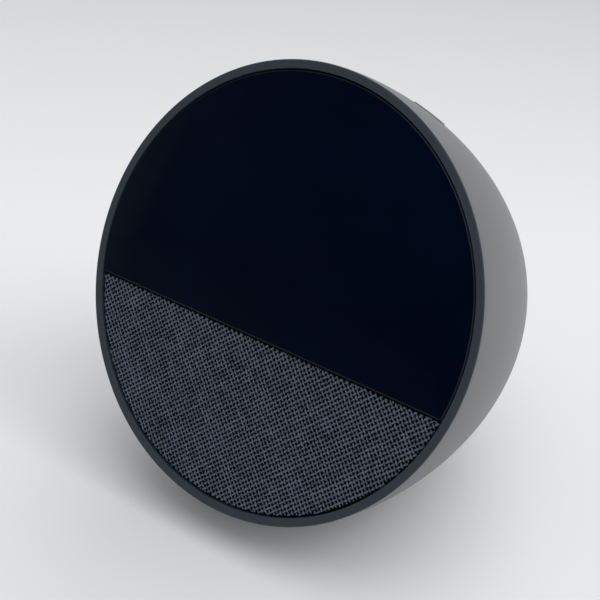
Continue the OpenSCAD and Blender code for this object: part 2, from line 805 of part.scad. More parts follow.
module speaker_enclosure() {
    front = chassis_back + enclosure_gasket_t;
    color([0.14, 0.14, 0.15]) difference() {
        union() {
            enclosure_space(front, enclosure_back, 0);
            in_face() for (p = enclosure_ears()) {
                translate([p[0], p[1], -front - enclosure_ear_t])
                    cylinder(h = enclosure_ear_t, r = enclosure_ear_r);
                translate([p[0] > 0 ? enclosure_half_w - 1 : p[0], p[1] - enclosure_ear_r,
                    -front - enclosure_ear_t])
                    cube([enclosure_ear_out + 1, 2 * enclosure_ear_r, enclosure_ear_t]);
            }
        }
        enclosure_space(front - cut, enclosure_back - enclosure_wall, enclosure_wall);
        in_face() for (p = enclosure_ears())
            translate([p[0], p[1], -front - enclosure_ear_t - cut])
                cylinder(h = enclosure_ear_t + 2 * cut, r = small_hole_r);
        in_face() for (x = [-wire_x, wire_x])
            translate([x, -enclosure_top + cut, speaker_wire_z]) rotate([90, 0, 0])
                cylinder(h = enclosure_wall + 2 * cut, r = wire_r + 0.1);
    }
}

module enclosure_screws() {
    color([0.75, 0.75, 0.77]) in_face() for (p = enclosure_ears())
        translate([p[0], p[1], -chassis_back - enclosure_gasket_t - enclosure_ear_t])
            rotate([180, 0, 0]) screw(enclosure_gasket_t + enclosure_ear_t + chassis_pilot_l - 0.4,
                small_head_r, small_head_h, small_screw_r);
}

// ---- Electronics ----

module main_board() {
    color([0.05, 0.16, 0.1]) in_face() slab(board_front, board_back) difference() {
        intersection() {
            circle(board_r);
            translate([-board_half_w, board_bottom]) square([2 * board_half_w, board_top - board_bottom]);
        }
        for (a = boss_angles) rotate(a) translate([boss_ring_r, 0]) circle(boss_r + 0.4);
        for (p = post_places) translate(p) circle(board_hole_r);
        for (x = [-1, 1]) for (y = [-1, 1])
            translate([x * sink_screw_x, shield_y + y * sink_screw_y]) circle(board_hole_r);
    }
}

// Chips, inductors and capacitors, as [x, y, width, height, thickness] on the board's back.
chips = [[-39.5, 8.5, 7, 7, 1.2], [-38.5, 19.5, 5, 5, 1.8], [30.5, 16, 5, 5, 1.2],
    [33, 22.2, 4, 4, 1.8], [-37, 2, 3, 4, 1], [28.5, 4, 5, 3, 1], [-21.5, 29.3, 9, 3.4, 1],
    [12.5, 29.3, 9, 3.4, 1]];

module board_chips() {
    color([0.06, 0.06, 0.07]) in_face() for (c = chips) board_block(c);
}

module board_connectors() {
    color([0.85, 0.83, 0.76]) in_face() {
        board_block(speaker_plug);
        board_block(power_plug);
        board_block(button_plug);
        translate([-7.5, display_y - display_h / 2 + 23.2, -board_front]) cube([15, 4, 1]);
    }
}

module soc_shield() {
    color([0.72, 0.73, 0.74]) in_face() difference() {
        translate([-shield_w / 2, shield_y - shield_w / 2, -board_back - shield_t])
            cube([shield_w, shield_w, shield_t]);
        translate([-shield_w / 2 + shield_wall, shield_y - shield_w / 2 + shield_wall,
            -board_back - shield_t + shield_wall])
            cube([shield_w - 2 * shield_wall, shield_w - 2 * shield_wall, shield_t]);
    }
}

module thermal_pad() {
    color([0.45, 0.55, 0.7]) in_face() slab(sink_front - pad_t, sink_front)
        translate([0, shield_y]) square([pad_w, pad_w], center = true);
}

module heat_sink() {
    fins = floor((sink_w - fin_t) / fin_pitch / 2);
    color([0.66, 0.67, 0.69]) in_face() difference() {
        union() {
            slab(sink_front, sink_front + sink_t)
                translate([0, shield_y]) square([sink_w, sink_h], center = true);
            for (k = [-fins:fins]) translate([k * fin_pitch - fin_t / 2,
                shield_y - sink_h / 2 + fin_inset, -sink_front - sink_t - fin_l])
                cube([fin_t, sink_h - 2 * fin_inset, fin_l + eps]);
            for (x = [-1, 1]) for (y = [-1, 1])
                translate([x * sink_screw_x, shield_y + y * sink_screw_y, -sink_front - eps])
                    cylinder(h = sink_front - board_back + eps, r = 2.4);
        }
        for (x = [-1, 1]) for (y = [-1, 1])
            translate([x * sink_screw_x, shield_y + y * sink_screw_y, -sink_front - sink_t - cut])
                cylinder(h = 12, r = small_hole_r);
    }
}

module sink_screws() {
    color([0.75, 0.75, 0.77]) in_face() for (x = [-1, 1]) for (y = [-1, 1])
        translate([x * sink_screw_x, shield_y + y * sink_screw_y, -sink_front - sink_t])
            rotate([180, 0, 0]) screw(sink_t + sink_front - board_back + board_t, small_head_r,
                small_head_h, small_screw_r);
}

module board_screws() {
    color([0.75, 0.75, 0.77]) in_face() for (p = post_places)
        translate([p[0], p[1], -board_back]) rotate([180, 0, 0])
            screw(board_screw_l, small_head_r, small_head_h, board_screw_r);
}

module antenna(side) {
    color([0.1, 0.1, 0.12]) in_face()
        translate([side * (aerial_x + rib_t / 2 + aerial_w / 2) - aerial_w / 2, aerial_low,
            -rib_back - 1]) cube([aerial_w, aerial_h, aerial_l]);
}

module antenna_left() antenna(-1);

module antenna_right() antenna(1);

// ---- Buttons, switches and microphones ----

module button_cap() {
    translate([0, 0, -cap_h]) cylinder(h = cap_h + button_proud - cap_edge, r = button_r);
    translate([0, 0, button_proud - cap_edge - eps])
        cylinder(h = cap_edge + eps, r1 = button_r, r2 = button_r - cap_edge);
    translate([0, 0, -cap_h - button_flange_t]) cylinder(h = button_flange_t + eps, r = flange_r);
    translate([0, 0, -post_end]) cylinder(h = post_end - cap_h, r = 1.4);
}

module plunger() {
    translate([0, 0, -plunger_end]) cylinder(h = plunger_end - post_end, r = plunger_r);
}

module volume_down_button() color([0.15, 0.16, 0.17]) on_dome(-button_step) button_cap();

module mute_button() color([0.15, 0.16, 0.17]) on_dome(0) button_cap();

module volume_up_button() color([0.15, 0.16, 0.17]) on_dome(button_step) button_cap();

module volume_down_plunger() color([0.6, 0.6, 0.6]) on_dome(-button_step) plunger();

module mute_plunger() color([0.6, 0.6, 0.6]) on_dome(0) plunger();

module volume_up_plunger() color([0.6, 0.6, 0.6]) on_dome(button_step) plunger();

module switch_bodies() {
    color([0.7, 0.7, 0.72]) for (k = [-1:1]) on_dome(k * button_step)
        translate([0, 0, -board_pad_top]) difference() {
            translate([-switch_w / 2, -switch_w / 2, 0]) cube([switch_w, switch_w, switch_h]);
            translate([0, 0, switch_h - switch_bore]) cylinder(h = 2, r = plunger_r + 0.1);
        }
}

// A band round the dome's axis, parallel to the shell at the buttons.
module dome_band(half_angle, half_w, top, thick) {
    in_face() rotate([0, 0, 90 - half_angle]) rotate_extrude(angle = 2 * half_angle)
        polygon([surface_point(-half_w, -top), surface_point(half_w, -top),
            surface_point(half_w, -top - thick), surface_point(-half_w, -top - thick)]);
}

module button_flex() {
    color([0.5, 0.3, 0.08]) union() {
        dome_band(button_step + 3, 2, carrier_top - 0.35, 0.3);
        for (k = [-1:1]) on_dome(k * button_step)
            translate([-5, -4, -carrier_top + 0.05]) cube([10, 8, pad_board_t - 0.05]);
        in_face() translate([-tail_half_w, button_plug[1] + button_plug[3] + 0.05, -tail_depth])
            cube([2 * tail_half_w, tail_end - button_plug[1] - button_plug[3], 0.25]);
    }
}

module microphones() {
    color([0.75, 0.68, 0.45]) for (a = [-mic_angle, mic_angle]) on_dome(a)
        translate([-1.5, -1.9, -carrier_top + 0.36]) cube([3, 3.8, 1]);
}

module mic_boots() {
    depth = carrier_top - 1.36 - shell_wall;
    color([0.07, 0.07, 0.07]) for (a = [-mic_angle, mic_angle]) on_dome(a)
        translate([0, 0, -carrier_top + 1.38]) difference() {
            cylinder(h = depth - 0.15, r = 1.9);
            translate([0, 0, -cut]) cylinder(h = depth + 2 * cut, r = mic_hole_r);
        }
}

module button_carrier() {
    color([0.13, 0.13, 0.14]) difference() {
        dome_band(carrier_half_angle, carrier_half_w, carrier_top + 0.02, carrier_t);
        for (a = [-carrier_boss_angle, carrier_boss_angle]) on_dome(a)
            translate([0, 0, -carrier_top - carrier_t - cut])
                cylinder(h = carrier_t + 2 * cut, r = small_hole_r);
        in_face() translate([-tail_half_w - 0.4, board_top, -tail_depth - 0.4])
            cube([2 * tail_half_w + 0.8, face_r - board_top, 1.1]);
    }
}

module carrier_screws() {
    color([0.75, 0.75, 0.77]) for (a = [-carrier_boss_angle, carrier_boss_angle]) on_dome(a)
        translate([0, 0, -carrier_top - carrier_t - 0.05]) rotate([180, 0, 0])
            screw(5, small_head_r, small_head_h, long_screw_r);
}

// ---- Power inlet ----

module power_jack() {
    color([0.06, 0.06, 0.07]) on_back() difference() {
        translate([-jack_w / 2, -jack_w / 2, -jack_back]) cube([jack_w, jack_w, jack_l]);
        translate([0, 0, -jack_front - jack_bore_l]) cylinder(h = jack_bore_l + cut, r = jack_bore_r);
        translate([0, 0, -jack_back - cut]) cylinder(h = jack_l, r = jack_pin_r);
    }
}

module jack_pin() {
    color([0.8, 0.66, 0.36]) on_back() translate([0, 0, -jack_back - 1.4])
        cylinder(h = jack_l + 0.4, r = jack_pin_r);
}

module jack_contacts() {
    color([0.8, 0.66, 0.36]) on_back() for (x = [-jack_contact_x, jack_contact_x])
        translate([x - 0.9, -0.25, -jack_back - 3.4]) cube([1.8, 0.5, 3.4]);
}

module jack_bracket() {
    color([0.13, 0.13, 0.14]) on_back() translate([0, 0, -jack_back - jack_plate_t - 0.02])
        difference() {
            linear_extrude(jack_plate_t) difference() {
                union() {
                    square([2 * jack_boss_x, 9], center = true);
                    for (x = [-jack_boss_x, jack_boss_x]) translate([x, 0]) circle(4.5);
                }
                square([10.5, 5], center = true);
            }
            for (x = [-jack_boss_x, jack_boss_x]) translate([x, 0, -cut])
                cylinder(h = jack_plate_t + 2 * cut, r = small_hole_r);
        }
}

module jack_screws() {
    color([0.75, 0.75, 0.77]) on_back() for (x = [-jack_boss_x, jack_boss_x])
        translate([x, 0, -jack_back - jack_plate_t - 0.05]) rotate([180, 0, 0])
            screw(6, small_head_r, small_head_h, long_screw_r);
}

// ---- Wires ----

module power_leads() {
    start = dome_depth - jack_back - 3.5;
    plug_x = power_plug[0] + power_plug[2] / 2;
    plug_y = power_plug[1] + power_plug[3] / 2;
    color([0.5, 0.08, 0.06]) in_face() for (k = [-1, 1])
        wire([[k * jack_contact_x, 0, -start], [k * jack_contact_x, 0, -wire_bend],
            [plug_x + 1.4 * k, plug_y, -power_wire_bend],
            [plug_x + 1.4 * k, plug_y, -board_back - power_plug[4] - 0.05]], wire_r + 0.05);
}

module speaker_leads() {
    start = magnet_r + 1.15 - driver_drop;
    plug_y = speaker_plug[1] + speaker_plug[3] / 2;
    color([0.2, 0.2, 0.22]) in_face() for (k = [-1, 1])
        wire([[k * wire_x, start, speaker_wire_z], [k * wire_x, plug_y - 0.8 * k, speaker_wire_z],
            [speaker_plug[0] - 0.05, plug_y - 0.8 * k, speaker_wire_z]]);
}

dome_shell();
foot_pad();
cover_glass();
glass_tape();
touch_sensor();
lcd_panel();
backlight();
display_bracket();
bracket_screws();
display_flex();
light_sensor();
grille_cloth();
grille_plate();
chassis();
chassis_screws();
driver_gasket();
driver_basket();
driver_screws();
surround();
cone();
dust_cap();
voice_coil();
spider();
top_plate();
magnet();
yoke();
driver_terminals();
enclosure_gasket();
speaker_enclosure();
enclosure_screws();
main_board();
board_chips();
board_connectors();
soc_shield();
thermal_pad();
heat_sink();
sink_screws();
board_screws();
antenna_left();
antenna_right();
volume_down_button();
mute_button();
volume_up_button();
volume_down_plunger();
mute_plunger();
volume_up_plunger();
switch_bodies();
button_flex();
microphones();
mic_boots();
button_carrier();
carrier_screws();
power_jack();
jack_pin();
jack_contacts();
jack_bracket();
jack_screws();
power_leads();
speaker_leads();
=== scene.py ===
"""Bedside smart speaker: its outside surfaces, finishes, floor, lights and camera.

Every length is in metres. Pieces are drawn in the face frame: x to the viewer's right,
y up along the tilted face, and s the depth behind the face, all in millimetres, and are
then placed in the object's frame by FaceFrame.
"""

import json
import logging
import math
from dataclasses import dataclass
from enum import Enum
from typing import Callable, Sequence

import bmesh
import bpy
import numpy as np
from mathutils import Matrix, Vector

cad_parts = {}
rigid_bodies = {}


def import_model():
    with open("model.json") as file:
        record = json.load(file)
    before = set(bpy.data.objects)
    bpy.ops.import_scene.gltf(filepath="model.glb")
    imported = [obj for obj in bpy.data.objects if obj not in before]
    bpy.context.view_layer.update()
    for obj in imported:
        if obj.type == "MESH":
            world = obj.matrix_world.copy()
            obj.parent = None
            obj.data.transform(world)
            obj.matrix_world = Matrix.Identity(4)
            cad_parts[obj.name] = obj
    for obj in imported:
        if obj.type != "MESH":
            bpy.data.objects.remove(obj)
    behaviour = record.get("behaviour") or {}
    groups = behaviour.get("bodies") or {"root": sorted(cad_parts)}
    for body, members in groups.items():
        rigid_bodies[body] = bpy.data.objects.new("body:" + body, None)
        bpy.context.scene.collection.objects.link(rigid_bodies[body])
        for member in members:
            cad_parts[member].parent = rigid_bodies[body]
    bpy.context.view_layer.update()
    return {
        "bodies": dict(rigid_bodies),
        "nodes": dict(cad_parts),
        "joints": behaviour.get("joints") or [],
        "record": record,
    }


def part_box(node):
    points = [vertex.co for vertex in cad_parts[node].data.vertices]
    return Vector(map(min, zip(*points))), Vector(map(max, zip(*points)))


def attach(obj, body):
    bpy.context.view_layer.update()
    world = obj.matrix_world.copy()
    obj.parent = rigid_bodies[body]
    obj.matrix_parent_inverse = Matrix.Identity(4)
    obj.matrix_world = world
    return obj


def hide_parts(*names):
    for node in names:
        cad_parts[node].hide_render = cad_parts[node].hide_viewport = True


Array = np.ndarray
Colour = tuple[float, float, float]
log = logging.getLogger("smart_speaker")

MM = 0.001
SMOOTH_ANGLE = math.radians(32)
CHORD_POINTS = 60
TONE_DARK, TONE_LIGHT = 0.3, 0.7
CHARCOAL: Colour = (0.107, 0.110, 0.114)


class Finish(Enum):
    """The kinds of surface, which say how coarse a grain and how strong a bump each has."""

    SATIN = "satin"
    MATT = "matt"
    RUBBER = "rubber"
    BOARD = "board"


# ---- Geometry helpers ----


@dataclass(frozen=True)
class FaceFrame:
    """The tilted face's own frame.

    Attributes:
        origin: Middle of the face, in millimetres, in the object's frame.
        tilt: Lean of the face back from upright, in radians.
        radius: Radius of the face, in millimetres.
    """

    origin: tuple[float, float, float]
    tilt: float
    radius: float

    @property
    def outward(self) -> Array:
        """Unit normal out of the face."""
        return np.array([0.0, -math.cos(self.tilt), math.sin(self.tilt)])

    @property
    def upward(self) -> Array:
        """Unit direction up along the face."""
        return np.array([0.0, math.sin(self.tilt), math.cos(self.tilt)])

    def world(self, points: Array) -> Array:
        """Places face-frame points (x, y, s) in the object's frame.

        World = origin + x across + y along the face's upward direction - s along its normal.

        Args:
            points: An N by 3 array in millimetres.

        Returns:
            An N by 3 array in metres.
        """
        p = np.asarray(points, float)
        across = np.array([1.0, 0.0, 0.0])
        placed = (
            np.array(self.origin)
            + p[:, :1] * across
            + p[:, 1:2] * self.upward
            - p[:, 2:3] * self.outward
        )
        return placed * MM


@dataclass(frozen=True)
class Dome:
    """A dome whose radius at depth s is r0 (1 - (s / depth)^p)^(1 / q).

    Attributes:
        r0: Radius at the face, in millimetres.
        depth: Depth from the face to the dome's back, in millimetres.
        front_power: The power p, which rounds the dome near the face.
        back_power: The power q, which flattens its back.
    """

    r0: float
    depth: float
    front_power: float = 1.6
    back_power: float = 2.5

    def radius(self, s: Array) -> Array:
        """Radius at depth s, in millimetres."""
        share = np.clip(np.asarray(s, float) / self.depth, 0.0, 1.0)
        return self.r0 * (1 - share**self.front_power) ** (1 / self.back_power)

    def depth_at(self, r: float) -> float:
        """Depth at which the dome has radius r, by the inverse of the same formula."""
        return self.depth * (1 - (r / self.r0) ** self.back_power) ** (1 / self.front_power)

    def lean(self, s: float) -> float:
        """Angle of the surface to the dome's axis at depth s, from a central difference."""
        step = 1.0
        return math.atan(float(self.radius(s - step) - self.radius(s + step)) / (2 * step))


def ring_angles(count: int) -> Array:
    """Evenly spaced angles round a full turn, without the last repeat."""
    return np.arange(count) * (2 * math.pi / count)


def grid_faces(rows: int, columns: int, wrap_rows: bool, wrap_columns: bool = True) -> Array:
    """Quads of a grid of vertices numbered row by row.

    Args:
        rows: Number of rows.
        columns: Number of columns.
        wrap_rows: Whether the last row joins the first.
        wrap_columns: Whether the last column joins the first.

    Returns:
        An N by 4 array of vertex numbers.
    """
    i = np.arange(rows if wrap_rows else rows - 1)[:, None]
    j = np.arange(columns if wrap_columns else columns - 1)[None, :]
    i2, j2 = (i + 1) % rows, (j + 1) % columns
    quads = [i * columns + j, i * columns + j2, i2 * columns + j2, i2 * columns + j]
    return np.stack(quads, axis=-1).reshape(-1, 4)


def revolve(profile: Array, segments: int, closed: bool) -> tuple[Array, list]:
    """Surface of revolution about the axis x = y = 0.

    Point = (r cos a, r sin a, s) for each profile point (r, s) and each angle a.

    Args:
        profile: A K by 2 array of radius and depth.
        segments: Number of angles.
        closed: Whether the profile is a loop. If not, its two ends are capped.

    Returns:
        The vertices and the faces.
    """
    a = ring_angles(segments)
    r, s = profile[:, 0][:, None], profile[:, 1][:, None]
    points = np.stack([r * np.cos(a), r * np.sin(a), s + 0 * a], axis=-1).reshape(-1, 3)
    faces = grid_faces(len(profile), segments, closed).tolist()
    if not closed:
        last = (len(profile) - 1) * segments
        faces += [list(range(segments))[::-1], [last + k for k in range(segments)]]
    return points, faces


def loft(rings: Sequence[Array]) -> tuple[Array, list]:
    """Skin over rings that have the same number of points, with a flat cap at each end.

    Args:
        rings: N by 3 arrays, in order.

    Returns:
        The vertices and the faces.
    """
    count = len(rings[0])
    faces = grid_faces(len(rings), count, wrap_rows=False).tolist()
    last = (len(rings) - 1) * count
    faces += [list(range(count))[::-1], [last + k for k in range(count)]]
    return np.concatenate(rings), faces


def arc(centre: tuple[float, float], radius: float, start: float, end: float, count: int) -> Array:
    """Points on a circle between two angles in degrees, as a count by 2 array."""
    a = np.radians(np.linspace(start, end, count))
    return np.stack([centre[0] + radius * np.cos(a), centre[1] + radius * np.sin(a)], axis=1)


def at_depth(outline: Array, depth: float) -> Array:
    """Points of a flat outline with a third coordinate added, as an N by 3 array."""
    return np.column_stack([outline, np.full(len(outline), depth)])


def cut_circle(radius: float, y: float, start: float, end: float, count: int) -> Array:
    """Outline of a circle's arc and the chord that closes it.

    Args:
        radius: Radius of the circle.
        y: Height of the chord.
        start: Angle at which the arc starts, in degrees.
        end: Angle at which it ends.
        count: Number of points on the arc.

    Returns:
        An N by 2 array.
    """
    round_edge = arc((0, 0), radius, start, end, count)
    x = np.linspace(round_edge[-1, 0], round_edge[0, 0], CHORD_POINTS + 2)[1:-1]
    return np.concatenate([round_edge, np.stack([x, np.full(CHORD_POINTS, y)], axis=1)])


def add_materials(piece: bpy.types.Object, *names: str) -> None:
    """Adds built materials to a piece by name, in the order of its slots."""
    for name in names:
        piece.data.materials.append(bpy.data.materials[name])


def new_piece(name: str, points: Array, faces: list, smooth: bool = True) -> bpy.types.Object:
    """Makes an object at the origin from points in metres, with its faces turned outwards.

    Args:
        name: Name of the piece.
        points: An N by 3 array in metres.
        faces: Lists of vertex numbers.
        smooth: Whether faces shade smoothly up to SMOOTH_ANGLE.

    Returns:
        The new object, linked to the scene.
    """
    mesh = bpy.data.meshes.new(name)
    mesh.from_pydata(np.asarray(points, float).tolist(), [], faces)
    tidy_mesh(mesh, smooth)
    piece = bpy.data.objects.new(name, mesh)
    bpy.context.scene.collection.objects.link(piece)
    return piece


def tidy_mesh(mesh: bpy.types.Mesh, smooth: bool) -> None:
    """Turns a closed mesh's faces outwards and sets its shading."""
    work = bmesh.new()
    work.from_mesh(mesh)
    bmesh.ops.recalc_face_normals(work, faces=work.faces)
    work.to_mesh(mesh)
    work.free()
    mesh.polygons.foreach_set("use_smooth", np.full(len(mesh.polygons), smooth))
    if smooth:
        mesh.set_sharp_from_angle(angle=SMOOTH_ANGLE)
    mesh.update()


def carve(piece: bpy.types.Object, cutters: Sequence[bpy.types.Object]) -> None:
    """Subtracts each cutter from a piece, and removes the cutters."""
    for cutter in cutters:
        step = piece.modifiers.new("carve", "BOOLEAN")
        step.operation, step.solver, step.object = "DIFFERENCE", "EXACT", cutter
    graph = bpy.context.evaluated_depsgraph_get()
    carved = bpy.data.meshes.new_from_object(piece.evaluated_get(graph))
    piece.modifiers.clear()
    piece.data = carved
    tidy_mesh(carved, True)
    for cutter in cutters:
        bpy.data.objects.remove(cutter)


def use_second_material(piece: bpy.types.Object, chosen: Array) -> None:
    """Gives the chosen faces the piece's second material, and the others its first."""
    piece.data.polygons.foreach_set("material_index", np.asarray(chosen, np.int32))


def face_centres(mesh: bpy.types.Mesh) -> Array:
    """Middles of a mesh's faces, as an N by 3 array in metres."""
    centres = np.zeros(len(mesh.polygons) * 3)
    mesh.polygons.foreach_get("center", centres)
    return centres.reshape(-1, 3)


# ---- Shader node groups and materials ----


class Groups:
    """Shared effects, each a shader node group that is built once."""

    _built: dict[str, bpy.types.ShaderNodeTree] = {}

    @classmethod
    def get(cls, name: str, maker: Callable[[bpy.types.ShaderNodeTree], None]) -> bpy.types.ShaderNodeTree:
        """Returns the named group, and makes it the first time."""
        if name not in cls._built:
            tree = bpy.data.node_groups.new(name, "ShaderNodeTree")
            maker(tree)
            cls._built[name] = tree
        return cls._built[name]


def socket(tree: bpy.types.ShaderNodeTree, name: str, kind: str, into: bool, value: float = 0.0) -> None:
    """Adds a named input or output to a group.

    Args:
        tree: The group.
        name: The socket's name.
        kind: Float, Vector or Color.
        into: Whether it is an input.
        value: The default of a Float input.
    """
    made = tree.interface.new_socket(
        name=name, in_out="INPUT" if into else "OUTPUT", socket_type=f"NodeSocket{kind}"
    )
    if into and kind == "Float":
        made.default_value = value


def inner_nodes(tree: bpy.types.ShaderNodeTree, *kinds: str) -> list[bpy.types.ShaderNode]:
    """Adds a group's input and output nodes, and then a shader node of each kind."""
    names = ["NodeGroupInput", "NodeGroupOutput", *(f"ShaderNode{kind}" for kind in kinds)]
    return [tree.nodes.new(name) for name in names]


def join(tree: bpy.types.ShaderNodeTree, *links: tuple) -> None:
    """Links sockets, each link given as a node, its output, another node and its input."""
    for start, output, end, given in links:
        tree.links.new(start.outputs[output], end.inputs[given])


def grain_group(tree: bpy.types.ShaderNodeTree) -> None:
    """Moulded grain: two noises, fine and coarse, mixed into a height and a mask."""
    for name, value in (("Scale", 2500.0), ("Coarse Scale", 60.0), ("Coarse Share", 0.3)):
        socket(tree, name, "Float", True, value)
    socket(tree, "Vector", "Vector", True)
    socket(tree, "Height", "Float", False)
    socket(tree, "Mask", "Float", False)
    given, out, fine, coarse, mix = inner_nodes(tree, "TexNoise", "TexNoise", "Mix")
    fine.inputs["Detail"].default_value, coarse.inputs["Detail"].default_value = 3.0, 4.0
    for noise, scale in ((fine, "Scale"), (coarse, "Coarse Scale")):
        join(tree, (given, "Vector", noise, "Vector"), (given, scale, noise, "Scale"))
    join(tree, (given, "Coarse Share", mix, "Factor"), (fine, "Fac", mix, "A"), (coarse, "Fac", mix, "B"))
    join(tree, (mix, "Result", out, "Height"), (coarse, "Fac", out, "Mask"))


def tone_group(tree: bpy.types.ShaderNodeTree) -> None:
    """Colour drift, and on the floor and the yarns painted shade and highlight: a mask runs a colour from
    a darker to a lighter value.
    """
    socket(tree, "Mask", "Float", True, 0.5)
    socket(tree, "Dark", "Color", True)
    socket(tree, "Light", "Color", True)
    socket(tree, "Color", "Color", False)
    given, out, spread, mix = inner_nodes(tree, "MapRange", "Mix")
    mix.data_type = "RGBA"
    spread.inputs["From Min"].default_value = TONE_DARK
    spread.inputs["From Max"].default_value = TONE_LIGHT
    join(tree, (given, "Mask", spread, "Value"), (spread, "Result", mix, 0))
    join(tree, (given, "Dark", mix, 6), (given, "Light", mix, 7), (mix, 2, out, "Color"))


def wear_group(tree: bpy.types.ShaderNodeTree) -> None:
    """Edge wear: the difference between a rounded normal and the true one, broken by noise."""
    socket(tree, "Radius", "Float", True, 0.0004)
    socket(tree, "Vector", "Vector", True)
    socket(tree, "Mask", "Float", False)
    kinds = ("Bevel", "NewGeometry", "VectorMath", "TexNoise", "MapRange", "Math")
    given, out, bevel, true, dot, noise, span, times = inner_nodes(tree, *kinds)
    dot.operation, times.operation = "DOT_PRODUCT", "MULTIPLY"
    noise.inputs["Scale"].default_value = 900.0
    span.inputs["From Min"].default_value, span.inputs["From Max"].default_value = 0.99, 0.8
    join(tree, (given, "Radius", bevel, "Radius"), (given, "Vector", noise, "Vector"))
    join(tree, (bevel, "Normal", dot, 0), (true, "Normal", dot, 1), (dot, "Value", span, "Value"))
    join(tree, (span, "Result", times, 0), (noise, "Fac", times, 1), (times, "Value", out, "Mask"))


def dust_group(tree: bpy.types.ShaderNodeTree) -> None:
    """Dust specks: the few cells of a cell pattern whose random value is high, near their points."""
    socket(tree, "Vector", "Vector", True)
    socket(tree, "Scale", "Float", True, 120.0)
    socket(tree, "Size", "Float", True, 0.03)
    socket(tree, "Mask", "Float", False)
    given, out, cells, near, rare, both = inner_nodes(tree, "TexVoronoi", "Math", "Math", "Math")
    near.operation, rare.operation, both.operation = "LESS_THAN", "GREATER_THAN", "MULTIPLY"
    rare.inputs[1].default_value = 0.86
    join(tree, (given, "Vector", cells, "Vector"), (given, "Scale", cells, "Scale"))
    join(tree, (cells, "Distance", near, 0), (given, "Size", near, 1), (cells, "Color", rare, 0))
    join(tree, (near, "Value", both, 0), (rare, "Value", both, 1), (both, "Value", out, "Mask"))


def brushed_group(tree: bpy.types.ShaderNodeTree) -> None:
    """Brushing: a noise stretched along z, as a height."""
    socket(tree, "Vector", "Vector", True)
    socket(tree, "Scale", "Float", True, 3000.0)
    socket(tree, "Height", "Float", False)
    given, out, stretch, noise = inner_nodes(tree, "Mapping", "TexNoise")
    stretch.inputs["Scale"].default_value = (1.0, 1.0, 0.03)
    join(tree, (given, "Vector", stretch, "Vector"), (stretch, "Vector", noise, "Vector"))
    join(tree, (given, "Scale", noise, "Scale"), (noise, "Fac", out, "Height"))


def weave_group(tree: bpy.types.ShaderNodeTree) -> None:
    """Fine weave: the higher of two crossed waves, as a height."""
    socket(tree, "Vector", "Vector", True)
    socket(tree, "Scale", "Float", True, 1200.0)
    socket(tree, "Height", "Float", False)
    given, out, high, *waves = inner_nodes(tree, "Math", "TexWave", "TexWave")
    high.operation = "MAXIMUM"
    for k, (axis, wave) in enumerate(zip("XZ", waves)):
        wave.bands_direction = axis
        join(tree, (given, "Vector", wave, "Vector"), (given, "Scale", wave, "Scale"))
        join(tree, (wave, "Fac", high, k))
    join(tree, (high, "Value", out, "Height"))


def twist_group(tree: bpy.types.ShaderNodeTree) -> None:
    """Twisted yarn: slanting plies from a UV map that runs along (u) and round (v) the yarn."""
    socket(tree, "UV", "Vector", True)
    socket(tree, "Turns", "Float", True, 1.4)
    socket(tree, "Height", "Float", False)
    given, out, parts, along, total, wave = inner_nodes(tree, "SeparateXYZ", "Math", "Math", "Math")
    along.operation, total.operation, wave.operation = "MULTIPLY", "MULTIPLY_ADD", "SINE"
    total.inputs[1].default_value = 4 * math.pi
    join(tree, (given, "UV", parts, "Vector"), (parts, "X", along, 0), (given, "Turns", along, 1))
    join(tree, (parts, "Y", total, 0), (along, "Value", total, 2), (total, "Value", wave, 0))
    join(tree, (wave, "Value", out, "Height"))


